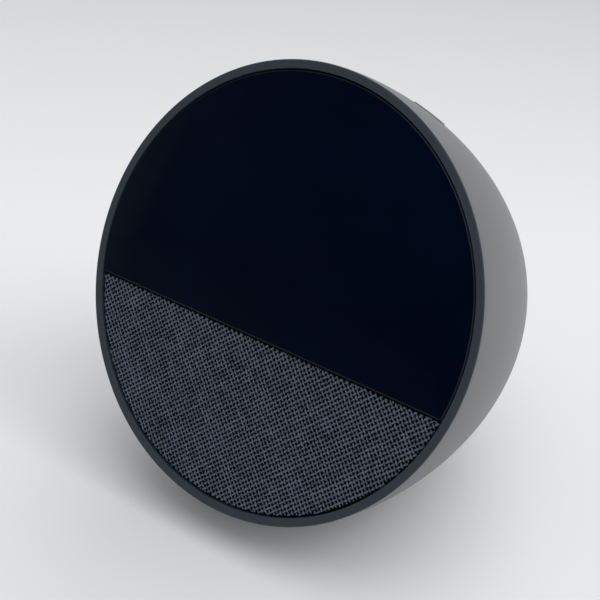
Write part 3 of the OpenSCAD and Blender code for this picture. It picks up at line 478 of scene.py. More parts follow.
class Shader:
    """A material being built: a Principled BSDF with helpers that add shared groups."""

    def __init__(self, name: str, colour: Colour, roughness: float, metallic: float = 0.0) -> None:
        """Starts a material with its plain values."""
        self.material = bpy.data.materials.new(name)
        self.material.use_nodes = True
        self.material.diffuse_color = (*colour, 1.0)
        self.tree = self.material.node_tree
        self.surface = self.tree.nodes["Principled BSDF"]
        self.surface.inputs["Base Color"].default_value = (*colour, 1.0)
        self.surface.inputs["Roughness"].default_value = roughness
        self.surface.inputs["Metallic"].default_value = metallic
        self.place = self.tree.nodes.new("ShaderNodeTexCoord").outputs["Object"]

    def group(self, name: str, maker: Callable, **values: float) -> bpy.types.ShaderNodeGroup:
        """Adds a shared group with its own values, fed by the object's coordinates."""
        node = self.tree.nodes.new("ShaderNodeGroup")
        node.node_tree = Groups.get(name, maker)
        if "Vector" in node.inputs:
            self.link(self.place, node.inputs["Vector"])
        for key, value in values.items():
            node.inputs[key.replace("_", " ")].default_value = value
        return node

    def link(self, start: bpy.types.NodeSocket, end: bpy.types.NodeSocket) -> None:
        """Joins two sockets."""
        self.tree.links.new(start, end)

    def bump(self, height: bpy.types.NodeSocket, distance: float, strength: float = 1.0) -> None:
        """Adds a bump of a distance in metres, over any bump that is there."""
        node = self.tree.nodes.new("ShaderNodeBump")
        node.inputs["Distance"].default_value = distance
        node.inputs["Strength"].default_value = strength
        self.link(height, node.inputs["Height"])
        normal = self.surface.inputs["Normal"]
        if normal.is_linked:
            self.link(normal.links[0].from_socket, node.inputs["Normal"])
        self.link(node.outputs["Normal"], normal)

    def range(self, value: bpy.types.NodeSocket, low: float, high: float) -> bpy.types.NodeSocket:
        """Maps a value from 0 to 1 onto low to high."""
        node = self.tree.nodes.new("ShaderNodeMapRange")
        node.inputs["To Min"].default_value, node.inputs["To Max"].default_value = low, high
        self.link(value, node.inputs["Value"])
        return node.outputs["Result"]

    def tones(self, mask: bpy.types.NodeSocket, dark: Colour, light: Colour) -> bpy.types.NodeSocket:
        """Runs the base colour between two tones by a mask, and returns the colour."""
        node = self.group("tone_drift_and_painted_light", tone_group)
        node.inputs["Dark"].default_value = (*dark, 1.0)
        node.inputs["Light"].default_value = (*light, 1.0)
        self.link(mask, node.inputs["Mask"])
        self.link(node.outputs["Color"], self.surface.inputs["Base Color"])
        return node.outputs["Color"]

    def overlay(self, mask: bpy.types.NodeSocket, colour: Colour) -> None:
        """Lays a colour over the base colour where a mask is 1."""
        base = self.surface.inputs["Base Color"]
        mix = self.tree.nodes.new("ShaderNodeMix")
        mix.data_type = "RGBA"
        if base.is_linked:
            self.link(base.links[0].from_socket, mix.inputs[6])
        else:
            mix.inputs[6].default_value = base.default_value
        mix.inputs[7].default_value = (*colour, 1.0)
        self.link(mask, mix.inputs[0])
        self.link(mix.outputs[2], base)


def scaled(colour: Colour, by: float) -> Colour:
    """A colour with each part multiplied, and held under 1."""
    return tuple(min(1.0, c * by) for c in colour)


@dataclass(frozen=True)
class Moulded:
    """Moulded or rubbery finish with grain, colour drift and worn edges.

    Attributes:
        name: The material's name.
        colour: Its base colour.
        roughness: Middle of its roughness.
        finish: The kind of surface.
        grain: Size of the grain, as a noise scale per metre.
        relief: Height of the grain, in metres.
        drift: Share by which its colour varies.
        wear: How much lighter its edges are.
        gloss: Strength of its highlights, where 0.5 is a usual plastic's.
    """

    name: str
    colour: Colour
    roughness: float = 0.5
    finish: Finish = Finish.SATIN
    grain: float = 2600.0
    relief: float = 0.000012
    drift: float = 0.06
    wear: float = 0.25
    gloss: float = 0.5

    def build(self) -> bpy.types.Material:
        """Builds the material."""
        made = Shader(self.name, self.colour, self.roughness)
        made.surface.inputs["Specular IOR Level"].default_value = self.gloss
        grain = made.group("fine_grain", grain_group, Scale=self.grain)
        tones = (scaled(self.colour, 1 - self.drift), scaled(self.colour, 1 + self.drift))
        made.tones(grain.outputs["Mask"], *tones)
        spread = 0.04 if self.finish is Finish.SATIN else 0.08
        rough = made.range(grain.outputs["Mask"], self.roughness - spread, self.roughness + spread)
        made.link(rough, made.surface.inputs["Roughness"])
        if self.wear:
            worn = made.group("edge_wear", wear_group)
            made.overlay(made.range(worn.outputs["Mask"], 0.0, self.wear), scaled(self.colour, 2.2))
        made.bump(grain.outputs["Height"], self.relief)
        if self.finish is Finish.RUBBER:
            made.surface.inputs["Sheen Weight"].default_value = 0.1
            made.surface.inputs["Specular IOR Level"].default_value = 0.3
        if self.finish is Finish.BOARD:
            made.surface.inputs["Coat Weight"].default_value = 0.4
            tracks = made.group("fine_weave", weave_group, Scale=260.0)
            made.bump(tracks.outputs["Height"], 0.00003)
        return made.material


@dataclass(frozen=True)
class Metal:
    """Plated or machined metal with brushing and slight staining."""

    name: str
    colour: Colour
    roughness: float = 0.32

    def build(self) -> bpy.types.Material:
        """Builds the material."""
        made = Shader(self.name, self.colour, self.roughness, metallic=1.0)
        grain = made.group("fine_grain", grain_group, Scale=900.0)
        made.tones(grain.outputs["Mask"], scaled(self.colour, 0.86), scaled(self.colour, 1.08))
        made.link(
            made.range(grain.outputs["Mask"], self.roughness - 0.08, self.roughness + 0.12),
            made.surface.inputs["Roughness"],
        )
        made.bump(made.group("brushing", brushed_group).outputs["Height"], 0.000006)
        return made.material


@dataclass(frozen=True)
class Woven:
    """Thin treated cloth, such as a spider or a dust cap."""

    name: str
    colour: Colour
    pitch_scale: float = 1300.0

    def build(self) -> bpy.types.Material:
        """Builds the material."""
        made = Shader(self.name, self.colour, 0.8)
        weave = made.group("fine_weave", weave_group, Scale=self.pitch_scale)
        made.tones(weave.outputs["Height"], scaled(self.colour, 0.55), scaled(self.colour, 1.25))
        made.bump(weave.outputs["Height"], 0.00008)
        made.surface.inputs["Sheen Weight"].default_value = 0.2
        return made.material


@dataclass(frozen=True)
class BlackGlass:
    """Polished cover glass over a black print, with a few specks of dust."""

    name: str = "cover_glass_black"
    colour: Colour = (0.0002, 0.0016, 0.0068)
    sheen: Colour = (0.25, 0.6, 1.0)
    dust: Colour = (0.20, 0.21, 0.23)

    def build(self) -> bpy.types.Material:
        """Builds the material."""
        made = Shader(self.name, self.colour, 0.06)
        made.surface.inputs["Specular IOR Level"].default_value = 0.035
        made.surface.inputs["Specular Tint"].default_value = (*self.sheen, 1.0)
        smear = made.group("fine_grain", grain_group, Scale=400.0, Coarse_Scale=26.0)
        made.tones(smear.outputs["Mask"], scaled(self.colour, 0.8), scaled(self.colour, 1.3))
        made.link(made.range(smear.outputs["Mask"], 0.04, 0.1), made.surface.inputs["Roughness"])
        made.overlay(made.group("dust", dust_group).outputs["Mask"], self.dust)
        return made.material


@dataclass(frozen=True)
class GroundEdge:
    """Ground and polished edge of the glass, lighter than its face."""

    name: str = "glass_edge"
    colour: Colour = (0.012, 0.015, 0.021)

    def build(self) -> bpy.types.Material:
        """Builds the material."""
        made = Shader(self.name, self.colour, 0.3)
        made.surface.inputs["Specular IOR Level"].default_value = 0.15
        grain = made.group("fine_grain", grain_group, Scale=1500.0)
        made.tones(grain.outputs["Mask"], scaled(self.colour, 0.8), scaled(self.colour, 1.2))
        made.bump(grain.outputs["Height"], 0.00001)
        return made.material


@dataclass(frozen=True)
class Yarn:
    """Heathered yarn: each strand and each stretch of it has its own tone, with a painted highlight on its
    crowns, over twisted plies.
    """

    name: str = "heathered_yarn"
    dark: Colour = (0.012, 0.0155, 0.024)
    light: Colour = (0.103, 0.123, 0.166)

    def build(self) -> bpy.types.Material:
        """Builds the material."""
        made = Shader(self.name, self.dark, 0.78)
        nodes = made.tree.nodes
        tone_and_painted_light, uv = nodes.new("ShaderNodeAttribute"), nodes.new("ShaderNodeUVMap")
        tone_and_painted_light.attribute_name, uv.uv_map = "tone_and_painted_light", "along"
        fibre = made.group("fine_grain", grain_group, Scale=5200.0, Coarse_Scale=900.0, Coarse_Share=0.4)
        total = nodes.new("ShaderNodeMath")
        total.operation = "MULTIPLY_ADD"
        total.inputs[1].default_value = 0.3
        made.link(fibre.outputs["Mask"], total.inputs[0])
        made.link(tone_and_painted_light.outputs["Fac"], total.inputs[2])
        # The yarn's tone mask carries its painted highlight on the crowns and painted shade in the dips.
        made.tones(total.outputs["Value"], self.dark, self.light)
        twist = made.group("ply_twist", twist_group)
        made.link(uv.outputs["UV"], twist.inputs["UV"])
        made.bump(twist.outputs["Height"], 0.00005)
        made.bump(fibre.outputs["Height"], 0.00003)
        made.surface.inputs["Sheen Weight"].default_value = 0.08
        made.surface.inputs["Sheen Roughness"].default_value = 0.4
        made.surface.inputs["Specular IOR Level"].default_value = 0.15
        return made.material


# ---- The outside pieces ----


@dataclass
class Shell:
    """The dome shell: rim, dome, key holes, plug hole and flat underside.

    Attributes:
        frame: The face frame.
        outer: The dome's outside.
        wall: Thickness of its wall.
        rim_round: Radius of the rim's outer edge.
        lip: Radius of the rim's inner edge.
        port_radius: Radius of the plug hole.
        floor_height: Height of the flat underside.
        segments: Number of segments round the dome.
        mic_radius: Radius of a microphone's hole.
        rim_depth_share: Depth of the rim's front that is painted darker as shade, as a share of rim_round.
        rim_wall_share: Share of the wall's thickness, from outside, that is shell-coloured; faces deeper
            inside get the painted shade.
    """

    frame: FaceFrame
    outer: Dome
    wall: float = 2.2
    rim_round: float = 0.5
    lip: float = 0.22
    port_radius: float = 5.6
    floor_height: float = 1.2
    segments: int = 288
    mic_radius: float = 0.6
    rim_depth_share: float = 0.55
    rim_wall_share: float = 0.35

    @property
    def inner(self) -> Dome:
        """The dome's inside."""
        return Dome(self.outer.r0 - self.wall, self.outer.depth - self.wall)

    def profile(self) -> Array:
        """Closed section of the wall from the plug hole, over the rim, and back inside.

        Returns:
            A K by 2 array of radius and depth.
        """
        outside = self._dome_run(self.outer, 96)
        edge = arc((self.outer.r0 - self.rim_round, self.rim_round), self.rim_round, 0, -90, 7)
        lip = arc((self.inner.r0 + self.lip, self.lip), self.lip, -90, -180, 4)
        inside = self._dome_run(self.inner, 48)[::-1]
        keep_out = outside[outside[:, 1] > self.rim_round]
        keep_in = inside[inside[:, 1] > self.lip]
        return np.concatenate([keep_out, edge, lip, keep_in])

    def _dome_run(self, dome: Dome, count: int) -> Array:
        """Points of a dome from the plug hole to the face, closer together at the back."""
        share = np.linspace(0, 1, count)
        end = dome.depth_at(self.port_radius)
        s = dome.depth * (1 - (1 - share) ** dome.back_power)
        s = np.append(s[s < end], end)[::-1]
        return np.stack([dome.radius(s), s], axis=1)

    def build(self, keys: "Keys", foot: "Foot") -> bpy.types.Object:
        """Builds the shell and cuts its holes.

        Args:
            keys: The keys, which give the places of the holes for caps and microphones.
            foot: The foot, which gives its recess.

        Returns:
            The shell piece, with the rim's front and the wall's inside faces on its second material, a
            painted shade.
        """
        points, faces = revolve(self.profile(), self.segments, closed=True)
        shell = new_piece("shell", self.frame.world(points), faces)
        carve(shell, [self._underside(), foot.recess(), *keys.cutters(self.wall, self.mic_radius)])
        placed = face_centres(shell.data) / MM - np.array(self.frame.origin)
        depth = -placed @ self.frame.outward
        reach = np.hypot(placed[:, 0], placed @ self.frame.upward)
        # Painted shade: the rim's front and the faces inside the wall get the darker second material, the
        # shell's plastic painted darker where less light falls.
        front = depth < self.rim_round * self.rim_depth_share
        front |= reach < self.outer.radius(depth) - self.rim_wall_share * self.wall
        use_second_material(shell, front)
        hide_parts("dome_shell")
        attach(shell, "body")
        return shell

    def _underside(self) -> bpy.types.Object:
        """A slab below the flat underside, which cuts the dome flat."""
        half, low = 70.0, -30.0
        ring = np.array([[-half, -half], [half, -half], [half, half], [-half, half]])
        rings = [at_depth(ring, z) * MM for z in (low, self.floor_height)]
        return new_piece("underside_cut", *loft(rings), smooth=False)


@dataclass
class Keys:
    """The three round keys and the two microphone holes between them.

    Attributes:
        frame: The face frame.
        dome: The dome that the keys sit on.
        depth: Distance of the keys behind the face.
        step: Angle between keys round the dome, in degrees.
        radius: Radius of a cap.
        gap: Gap round a cap.
        proud: Height of a cap above the dome.
        cap_thickness: Thickness of a cap.
        edge: Radius of a cap's upper edge.
        sign_low: Height of a sign's foot over the cap's top, which it is sunk into.
        sign_high: Height of a sign above it.
        crown_span: Twice the dome's radius of curvature front to back, at the keys.
        names: The keys, from the left of the face to the right.
    """

    frame: FaceFrame
    dome: Dome
    depth: float = 18.5
    step: float = 17.5
    radius: float = 4.6
    gap: float = 0.15
    proud: float = 0.25
    cap_thickness: float = 2.2
    edge: float = 0.25
    sign_low: float = -0.05
    sign_high: float = 0.03
    crown_span: float = 260.0
    names: tuple[str, ...] = ("volume_down", "mute", "volume_up")

    def place(self, angle: float, points: Array) -> Array:
        """Places points of a key's own frame, with z out of the dome, in the object's frame.

        The key's frame is turned by the dome's lean, moved to the dome's radius, and turned
        round the dome's axis by angle.

        Args:
            angle: Angle from the top of the dome towards +x, in degrees.
            points: An N by 3 array in millimetres: x across, y towards the back, z outwards.

        Returns:
            An N by 3 array in metres.
        """
        lean, r0 = self.dome.lean(self.depth), float(self.dome.radius(self.depth))
        radial = r0 - points[:, 1] * math.sin(lean) + points[:, 2] * math.cos(lean)
        s = self.depth + points[:, 1] * math.cos(lean) + points[:, 2] * math.sin(lean)
        a, x = math.radians(angle), points[:, 0]
        turned = np.stack(
            [radial * math.sin(a) + x * math.cos(a), radial * math.cos(a) - x * math.sin(a), s], axis=1
        )
        return self.frame.world(turned)

    def angles(self) -> list[float]:
        """Angle of each key."""
        return [-self.step, 0.0, self.step]

    def cutters(self, wall: float, mic_radius: float) -> list[bpy.types.Object]:
        """Cylinders that cut the keys' and the microphones' holes.

        Args:
            wall: Thickness of the shell's wall.
            mic_radius: Radius of a microphone's hole.

        Returns:
            The cutters.
        """
        made = []
        holes = [(a, self.radius + self.gap, 96) for a in self.angles()]
        holes += [(k * self.step / 2, mic_radius, 32) for k in (-1, 1)]
        for angle, radius, segments in holes:
            profile = np.array([[radius, -2.2 * wall], [radius, 2 * wall]])
            points, faces = revolve(profile, segments, closed=False)
            made.append(new_piece("hole_cut", self.place(angle, points), faces, smooth=False))
        return made

    def crown(self, x: Array, y: Array) -> Array:
        """Height of the dome's surface above the key's own plane, at (x, y).

        Across the dome it falls as a circle of the dome's radius, and front to back as
        y^2 / crown_span, so the cap follows the shell.
        """
        r0 = float(self.dome.radius(self.depth)) / math.cos(self.dome.lean(self.depth))
        return np.sqrt(r0**2 - x**2) - r0 - y**2 / self.crown_span

    def build(self) -> None:
        """Builds the caps and their marks."""
        rise = arc((self.radius - self.edge, 0.0), self.edge, 0, 90, 6) - [0.0, self.edge]
        dish = np.linspace(self.radius - self.edge, 0.05, 18)[1:]
        side = [[self.radius, -self.cap_thickness]]
        profile = np.concatenate([side, rise, np.stack([dish, 0 * dish], axis=1)])
        for name, angle in zip(self.names, self.angles()):
            points, faces = revolve(profile, 96, closed=False)
            top = points[:, 2] > -self.cap_thickness / 2
            points[top, 2] += self.proud + self.crown(points[top, 0], points[top, 1])
            cap = new_piece(f"key_{name}", self.place(angle, points), faces)
            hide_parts(f"{name}_button")
            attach(cap, f"{name}_key")
            add_materials(cap, "shell_satin")
            self._mark(name, angle)

    def _mark(self, name: str, angle: float) -> None:
        """Prints a plain sign on a cap: a bar, a cross, or a circle with a bar through it."""
        bars: dict[str, list[tuple[float, float, float]]] = {
            "volume_down": [(2.6, 0.38, 0.0)],
            "volume_up": [(2.6, 0.38, 0.0), (2.6, 0.38, 90.0)],
            "mute": [(3.6, 0.34, 45.0)],
        }
        solids = [self._raised(self._bar(*b)) for b in bars[name]]
        if name == "mute":
            solids.append(self._hoop(1.15, 0.17))
        points, faces, count = [], [], 0
        for corners, sides in solids:
            points.append(corners)
            faces += [[v + count for v in side] for side in sides]
            count += len(corners)
        sign = new_piece(f"sign_{name}", self.place(angle, np.concatenate(points)), faces)
        add_materials(sign, "printed_sign")
        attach(sign, f"{name}_key")

    def _bar(self, length: float, width: float, turn: float) -> Array:
        """Outline of a round-ended bar, turned by an angle in degrees."""
        half = (length - width) / 2
        ends = [arc((half, 0), width / 2, -90, 90, 9), arc((-half, 0), width / 2, 90, 270, 9)]
        a = math.radians(turn)
        spin = np.array([[math.cos(a), math.sin(a)], [-math.sin(a), math.cos(a)]])
        return np.concatenate(ends) @ spin

    def _raised(self, outline: Array) -> tuple[Array, list]:
        """A bar as a thin raised solid that follows the cap's crown."""
        lift = self.proud + self.crown(outline[:, 0], outline[:, 1])
        return loft([np.column_stack([outline, lift + z]) for z in (self.sign_low, self.sign_high)])

    def _hoop(self, radius: float, width: float) -> tuple[Array, list]:
        """A ring as a thin raised solid that follows the cap's crown."""
        r = np.array([radius - width, radius + width, radius + width, radius - width])
        z = np.array([self.sign_low, self.sign_low, self.sign_high, self.sign_high])
        points, faces = revolve(np.stack([r, z], axis=1), 48, closed=True)
        points[:, 2] += self.proud + self.crown(points[:, 0], points[:, 1])
        return points, faces


@dataclass
class Foot:
    """The oval rubber foot with a rounded lower edge.

    Attributes:
        middle: Place of its middle along y, in millimetres.
        length: Its size front to back.
        width: Its size across.
        height: Its thickness.
        edge: Radius of its lower edge.
        clearance: Gap round it in its recess.
    """

    middle: float
    length: float = 37.0
    width: float = 23.0
    height: float = 2.0
    edge: float = 0.5
    clearance: float = 0.2

    def outline(self, grow: float) -> Array:
        """Outline of the oval, as two half circles joined by straight sides."""
        half, r = (self.length - self.width) / 2, self.width / 2 + grow
        ends = [arc((0, half), r, 0, 180, 33), arc((0, -half), r, 180, 360, 33)]
        return np.concatenate(ends) + [0.0, self.middle]

    def recess(self) -> bpy.types.Object:
        """The cutter of the foot's recess in the shell."""
        rings = [at_depth(self.outline(self.clearance), z) * MM for z in (-1, self.height)]
        return new_piece("recess_cut", *loft(rings), smooth=False)

    def build(self) -> None:
        """Builds the foot."""
        low = arc((-self.edge, self.edge), self.edge, -90, 0, 6)
        steps = np.concatenate([low, [[0.0, self.height - 0.1], [-0.1, self.height - 0.02]]])
        rings = [at_depth(self.outline(grow), z) * MM for grow, z in steps]
        foot = new_piece("foot", *loft(rings))
        add_materials(foot, "foot_rubber")
        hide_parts("foot_pad")
        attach(foot, "body")


@dataclass
class Glass:
    """The D-shaped cover glass with a ground chamfer.

    Attributes:
        frame: The face frame.
        radius: Radius of its round edge.
        chord: Distance of its straight edge below the face's centre.
        recess: Depth of its front face.
        thickness: Its thickness.
        chamfer: Width of the chamfer.
    """

    frame: FaceFrame
    radius: float = 53.95
    chord: float = 12.2
    recess: float = 0.3
    thickness: float = 1.1
    chamfer: float = 0.35

    def outline(self, inset: float) -> Array:
        """Outline drawn in by inset: an arc, and the chord that closes it."""
        r, y = self.radius - inset, -self.chord + inset
        end = math.degrees(math.asin(y / r))
        return cut_circle(r, y, end, 180 - end, 241)

    def build(self) -> None:
        """Builds the glass."""
        back, front = self.recess + self.thickness, self.recess
        behind = [(0.1, back), (0.0, back - 0.1)]
        chamfer = [(0.0, front + self.chamfer), (self.chamfer * 0.85, front + 0.03), (self.chamfer, front)]
        rings = [at_depth(self.outline(inset), s) for inset, s in behind + chamfer]
        points, faces = loft(rings)
        glass = new_piece("cover_glass_face", self.frame.world(points), faces)
        add_materials(glass, "cover_glass_black", "glass_edge")
        corners = np.zeros(len(glass.data.polygons), np.int32)
        glass.data.polygons.foreach_get("loop_total", corners)
        use_second_material(glass, corners == 4)
        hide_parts("cover_glass")
        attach(glass, "body")


@dataclass
class GrilleCloth:
    """The woven cloth: two crossed families of yarns on a near-black sheet that is painted shade, for the
    shade seen through the weave.

    Attributes:
        frame: The face frame.
        radius: Radius of its round edge.
        top: Distance of its straight edge below the face's centre.
        recess: Depth of its front.
        thickness: Depth from its front to its back.
        pitches: Distance between neighbouring yarns of each family.
        turn: Direction of the first family of yarns, in degrees.
        width_share: Half width of a yarn, as a share of its pitch.
        half_height: Half height of a yarn.
        swing: Depth by which a yarn swings over and under.
        steps: Rings of points for each pitch along a yarn.
        sides: Points on each ring.
        tuck: Width over which the cloth turns down at its edge.
        tuck_depth: Depth by which it turns down.
        trim: Distance from the edge at which the yarns end.
        seed: Seed of the random draws.
        place_jitter: Spread of the yarns' places.
        wander: Spread of a yarn's place along its length.
        width_noise: Spread of a yarn's width, as a share.
        shades: Lowest and highest tone of a yarn.
        shade_noise: Spread of a yarn's tone along its length.
        crown_painted_highlight: Painted highlight: the tone that a yarn gains on its crowns, which leaves
            its dips darker as painted shade.
    """

    frame: FaceFrame
    radius: float = 53.95
    top: float = 12.55
    recess: float = 0.5
    thickness: float = 0.6
    pitches: tuple[float, float] = (1.10, 1.025)
    turn: float = 43.0
    width_share: float = 0.205
    half_height: float = 0.13
    swing: float = 0.13
    steps: int = 4
    sides: int = 6
    tuck: float = 0.7
    tuck_depth: float = 0.42
    trim: float = 0.12
    seed: int = 7
    place_jitter: float = 0.012
    wander: float = 0.03
    width_noise: float = 0.13
    shades: tuple[float, float] = (0.21, 0.33)
    shade_noise: float = 0.05
    crown_painted_highlight: float = 0.32

    def margin(self, x: Array, y: Array) -> Array:
        """Distance from a point to the cloth's edge: the nearer of its arc and its chord."""
        return np.minimum(self.radius - np.hypot(x, y), -self.top - y)

    def _fall(self, x: Array, y: Array) -> Array:
        """Extra depth near the edge, a quarter circle over the tuck's width."""
        inside = np.clip(self.margin(x, y) / self.tuck, 0.0, 1.0)
        return self.tuck_depth * (1 - np.sqrt(1 - (1 - inside) ** 2))

    def build(self) -> None:
        """Builds the painted shade sheet and the yarns."""
        painted_shade_sheet = self._painted_shade_sheet()
        yarns = [self._yarns(k) for k in range(2)]
        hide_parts("grille_cloth")
        for piece in (painted_shade_sheet, *yarns):
            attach(piece, "body")

    def _painted_shade_sheet(self) -> bpy.types.Object:
        """Painted shade: a near-black thin closed sheet under the yarns, for the shade seen through the
        weave.
        """
        inset = 0.15
        r, y = self.radius - inset, -self.top - inset
        end = math.degrees(math.asin(y / r))
        outline = cut_circle(r, y, -180 - end, end, 181)
        back = self.recess + self.thickness
        points, faces = loft([at_depth(outline, s) for s in (back - 0.02, back - 0.12)])
        painted_shade_sheet = new_piece("cloth_painted_shade_sheet", self.frame.world(points), faces)
        add_materials(painted_shade_sheet, "painted_shade_sheet")
        return painted_shade_sheet

    def _yarns(self, family: int) -> bpy.types.Object:
        """One family of parallel yarns.

        A yarn's middle line runs at u = j pitch and swings in depth as
        swing * cos(pi t / cross + pi j), where cross is the other family's pitch, so that it
        passes over and under the other family. Its colour is painted lightest on its crowns, a
        painted highlight, and darkest in its dips, a painted shade.
        Its section is an ellipse, and its width and its place wander a little.

        Args:
            family: 0 or 1; the second is square to the first and swings the other way.

        Returns:
            The piece, with an attribute of tone and painted highlight, and a UV map along the yarns.
        """
        rng = np.random.default_rng(self.seed + family)
        a = math.radians(self.turn + 90 * family)
        along, across = np.array([math.cos(a), math.sin(a)]), np.array([-math.sin(a), math.cos(a)])
        pitch, cross = self.pitches[family], self.pitches[1 - family]
        reach = int(self.radius / min(self.pitches)) + 2
        j = np.arange(-reach, reach + 1)
        step = cross / self.steps
        i = np.arange(-reach * self.steps, reach * self.steps + 1)
        wander = self._smooth(rng.normal(size=(len(j), len(i))), 7) * self.wander
        t = i[None, :] * step + 0 * j[:, None]
        u = j[:, None] * pitch + rng.normal(size=(len(j), 1)) * self.place_jitter + wander
        x, y = t * along[0] + u * across[0], t * along[1] + u * across[1]
        phase = math.pi * (t / cross + j[:, None] + family)
        uneven = 1 + self._smooth(rng.normal(size=t.shape), 9) * self.width_noise
        width = pitch * self.width_share * uneven
        middle = self.recess + self.half_height + self.swing + 0.01
        s = middle + self.swing * np.cos(phase) + self._fall(x, y)
        kept = self.margin(x, y) > self.trim
        kept &= kept.sum(1, keepdims=True) > 2
        turn = ring_angles(self.sides)
        side = width[..., None] * np.cos(turn)
        depth = s[..., None] - self.half_height * np.sin(turn)
        px, py = x[..., None] + side * across[0], y[..., None] + side * across[1]
        number = np.full(t.shape, -1)
        number[kept] = np.arange(kept.sum()) * self.sides
        points = self.frame.world(np.stack([px, py, depth], axis=-1)[kept].reshape(-1, 3))
        piece = new_piece(f"cloth_yarns_{'ab'[family]}", points, self._tube_faces(number))
        shade = rng.uniform(*self.shades, size=(len(j), 1))
        shade = shade + self._smooth(rng.normal(size=t.shape), 15) * self.shade_noise
        # Painted highlight: yarns are lighter on their crowns, where light falls, and darker in their dips
        # as painted shade.
        shade += self.crown_painted_highlight * (0.5 - 0.5 * np.cos(phase)) ** 2
        self._attributes(piece, shade[kept], (t / cross)[kept])
        add_materials(piece, "heathered_yarn")
        return piece

    @staticmethod
    def _smooth(noise: Array, width: int) -> Array:
        """Averages noise along each yarn over a width, and brings it back to unit size."""
        kernel = np.hanning(width + 2)[1:-1]
        soft = np.apply_along_axis(lambda row: np.convolve(row, kernel, mode="same"), 1, noise)
        return soft / math.sqrt(float((kernel**2).sum()))

    def _tube_faces(self, number: Array) -> list:
        """Quads between neighbouring rings of each yarn, and a cap at each end.

        Args:
            number: First vertex of each ring, or -1 where there is none.

        Returns:
            The faces.
        """
        here, ahead = number[:, :-1], number[:, 1:]
        joined = (here >= 0) & (ahead >= 0)
        k = np.arange(self.sides)
        nxt = (k + 1) % self.sides
        first, second = here[joined][:, None], ahead[joined][:, None]
        quads = np.stack([first + k, first + nxt, second + nxt, second + k], axis=-1).reshape(-1, 4)
        before = np.pad(number, ((0, 0), (1, 0)), constant_values=-1)[:, :-1]
        after = np.pad(number, ((0, 0), (0, 1)), constant_values=-1)[:, 1:]
        starts = number[(number >= 0) & (before < 0)][:, None] + k[::-1]
        ends = number[(number >= 0) & (after < 0)][:, None] + k
        return quads.tolist() + starts.tolist() + ends.tolist()

    def _attributes(self, piece: bpy.types.Object, shade: Array, along: Array) -> None:
        """Stores each ring's tone with its painted highlight, and a UV map that runs along and round the
        yarns.

        Args:
            piece: The yarns.
            shade: Tone of each ring, with the painted highlight on the crowns.
            along: Distance of each ring along its yarn, in pitches.
        """
        mesh = piece.data
        tone_and_painted_light = mesh.attributes.new("tone_and_painted_light", "FLOAT", "POINT")
        tone_and_painted_light.data.foreach_set("value", np.repeat(shade, self.sides).astype(np.float32))
        uv = mesh.uv_layers.new(name="along")
        corner = np.zeros(len(mesh.loops), np.int32)
        mesh.loops.foreach_get("vertex_index", corner)
        pair = np.stack([np.repeat(along, self.sides)[corner], (corner % self.sides) / self.sides], axis=1)
        uv.data.foreach_set("uv", pair.astype(np.float32).ravel())


# ---- Finishes of every piece ----


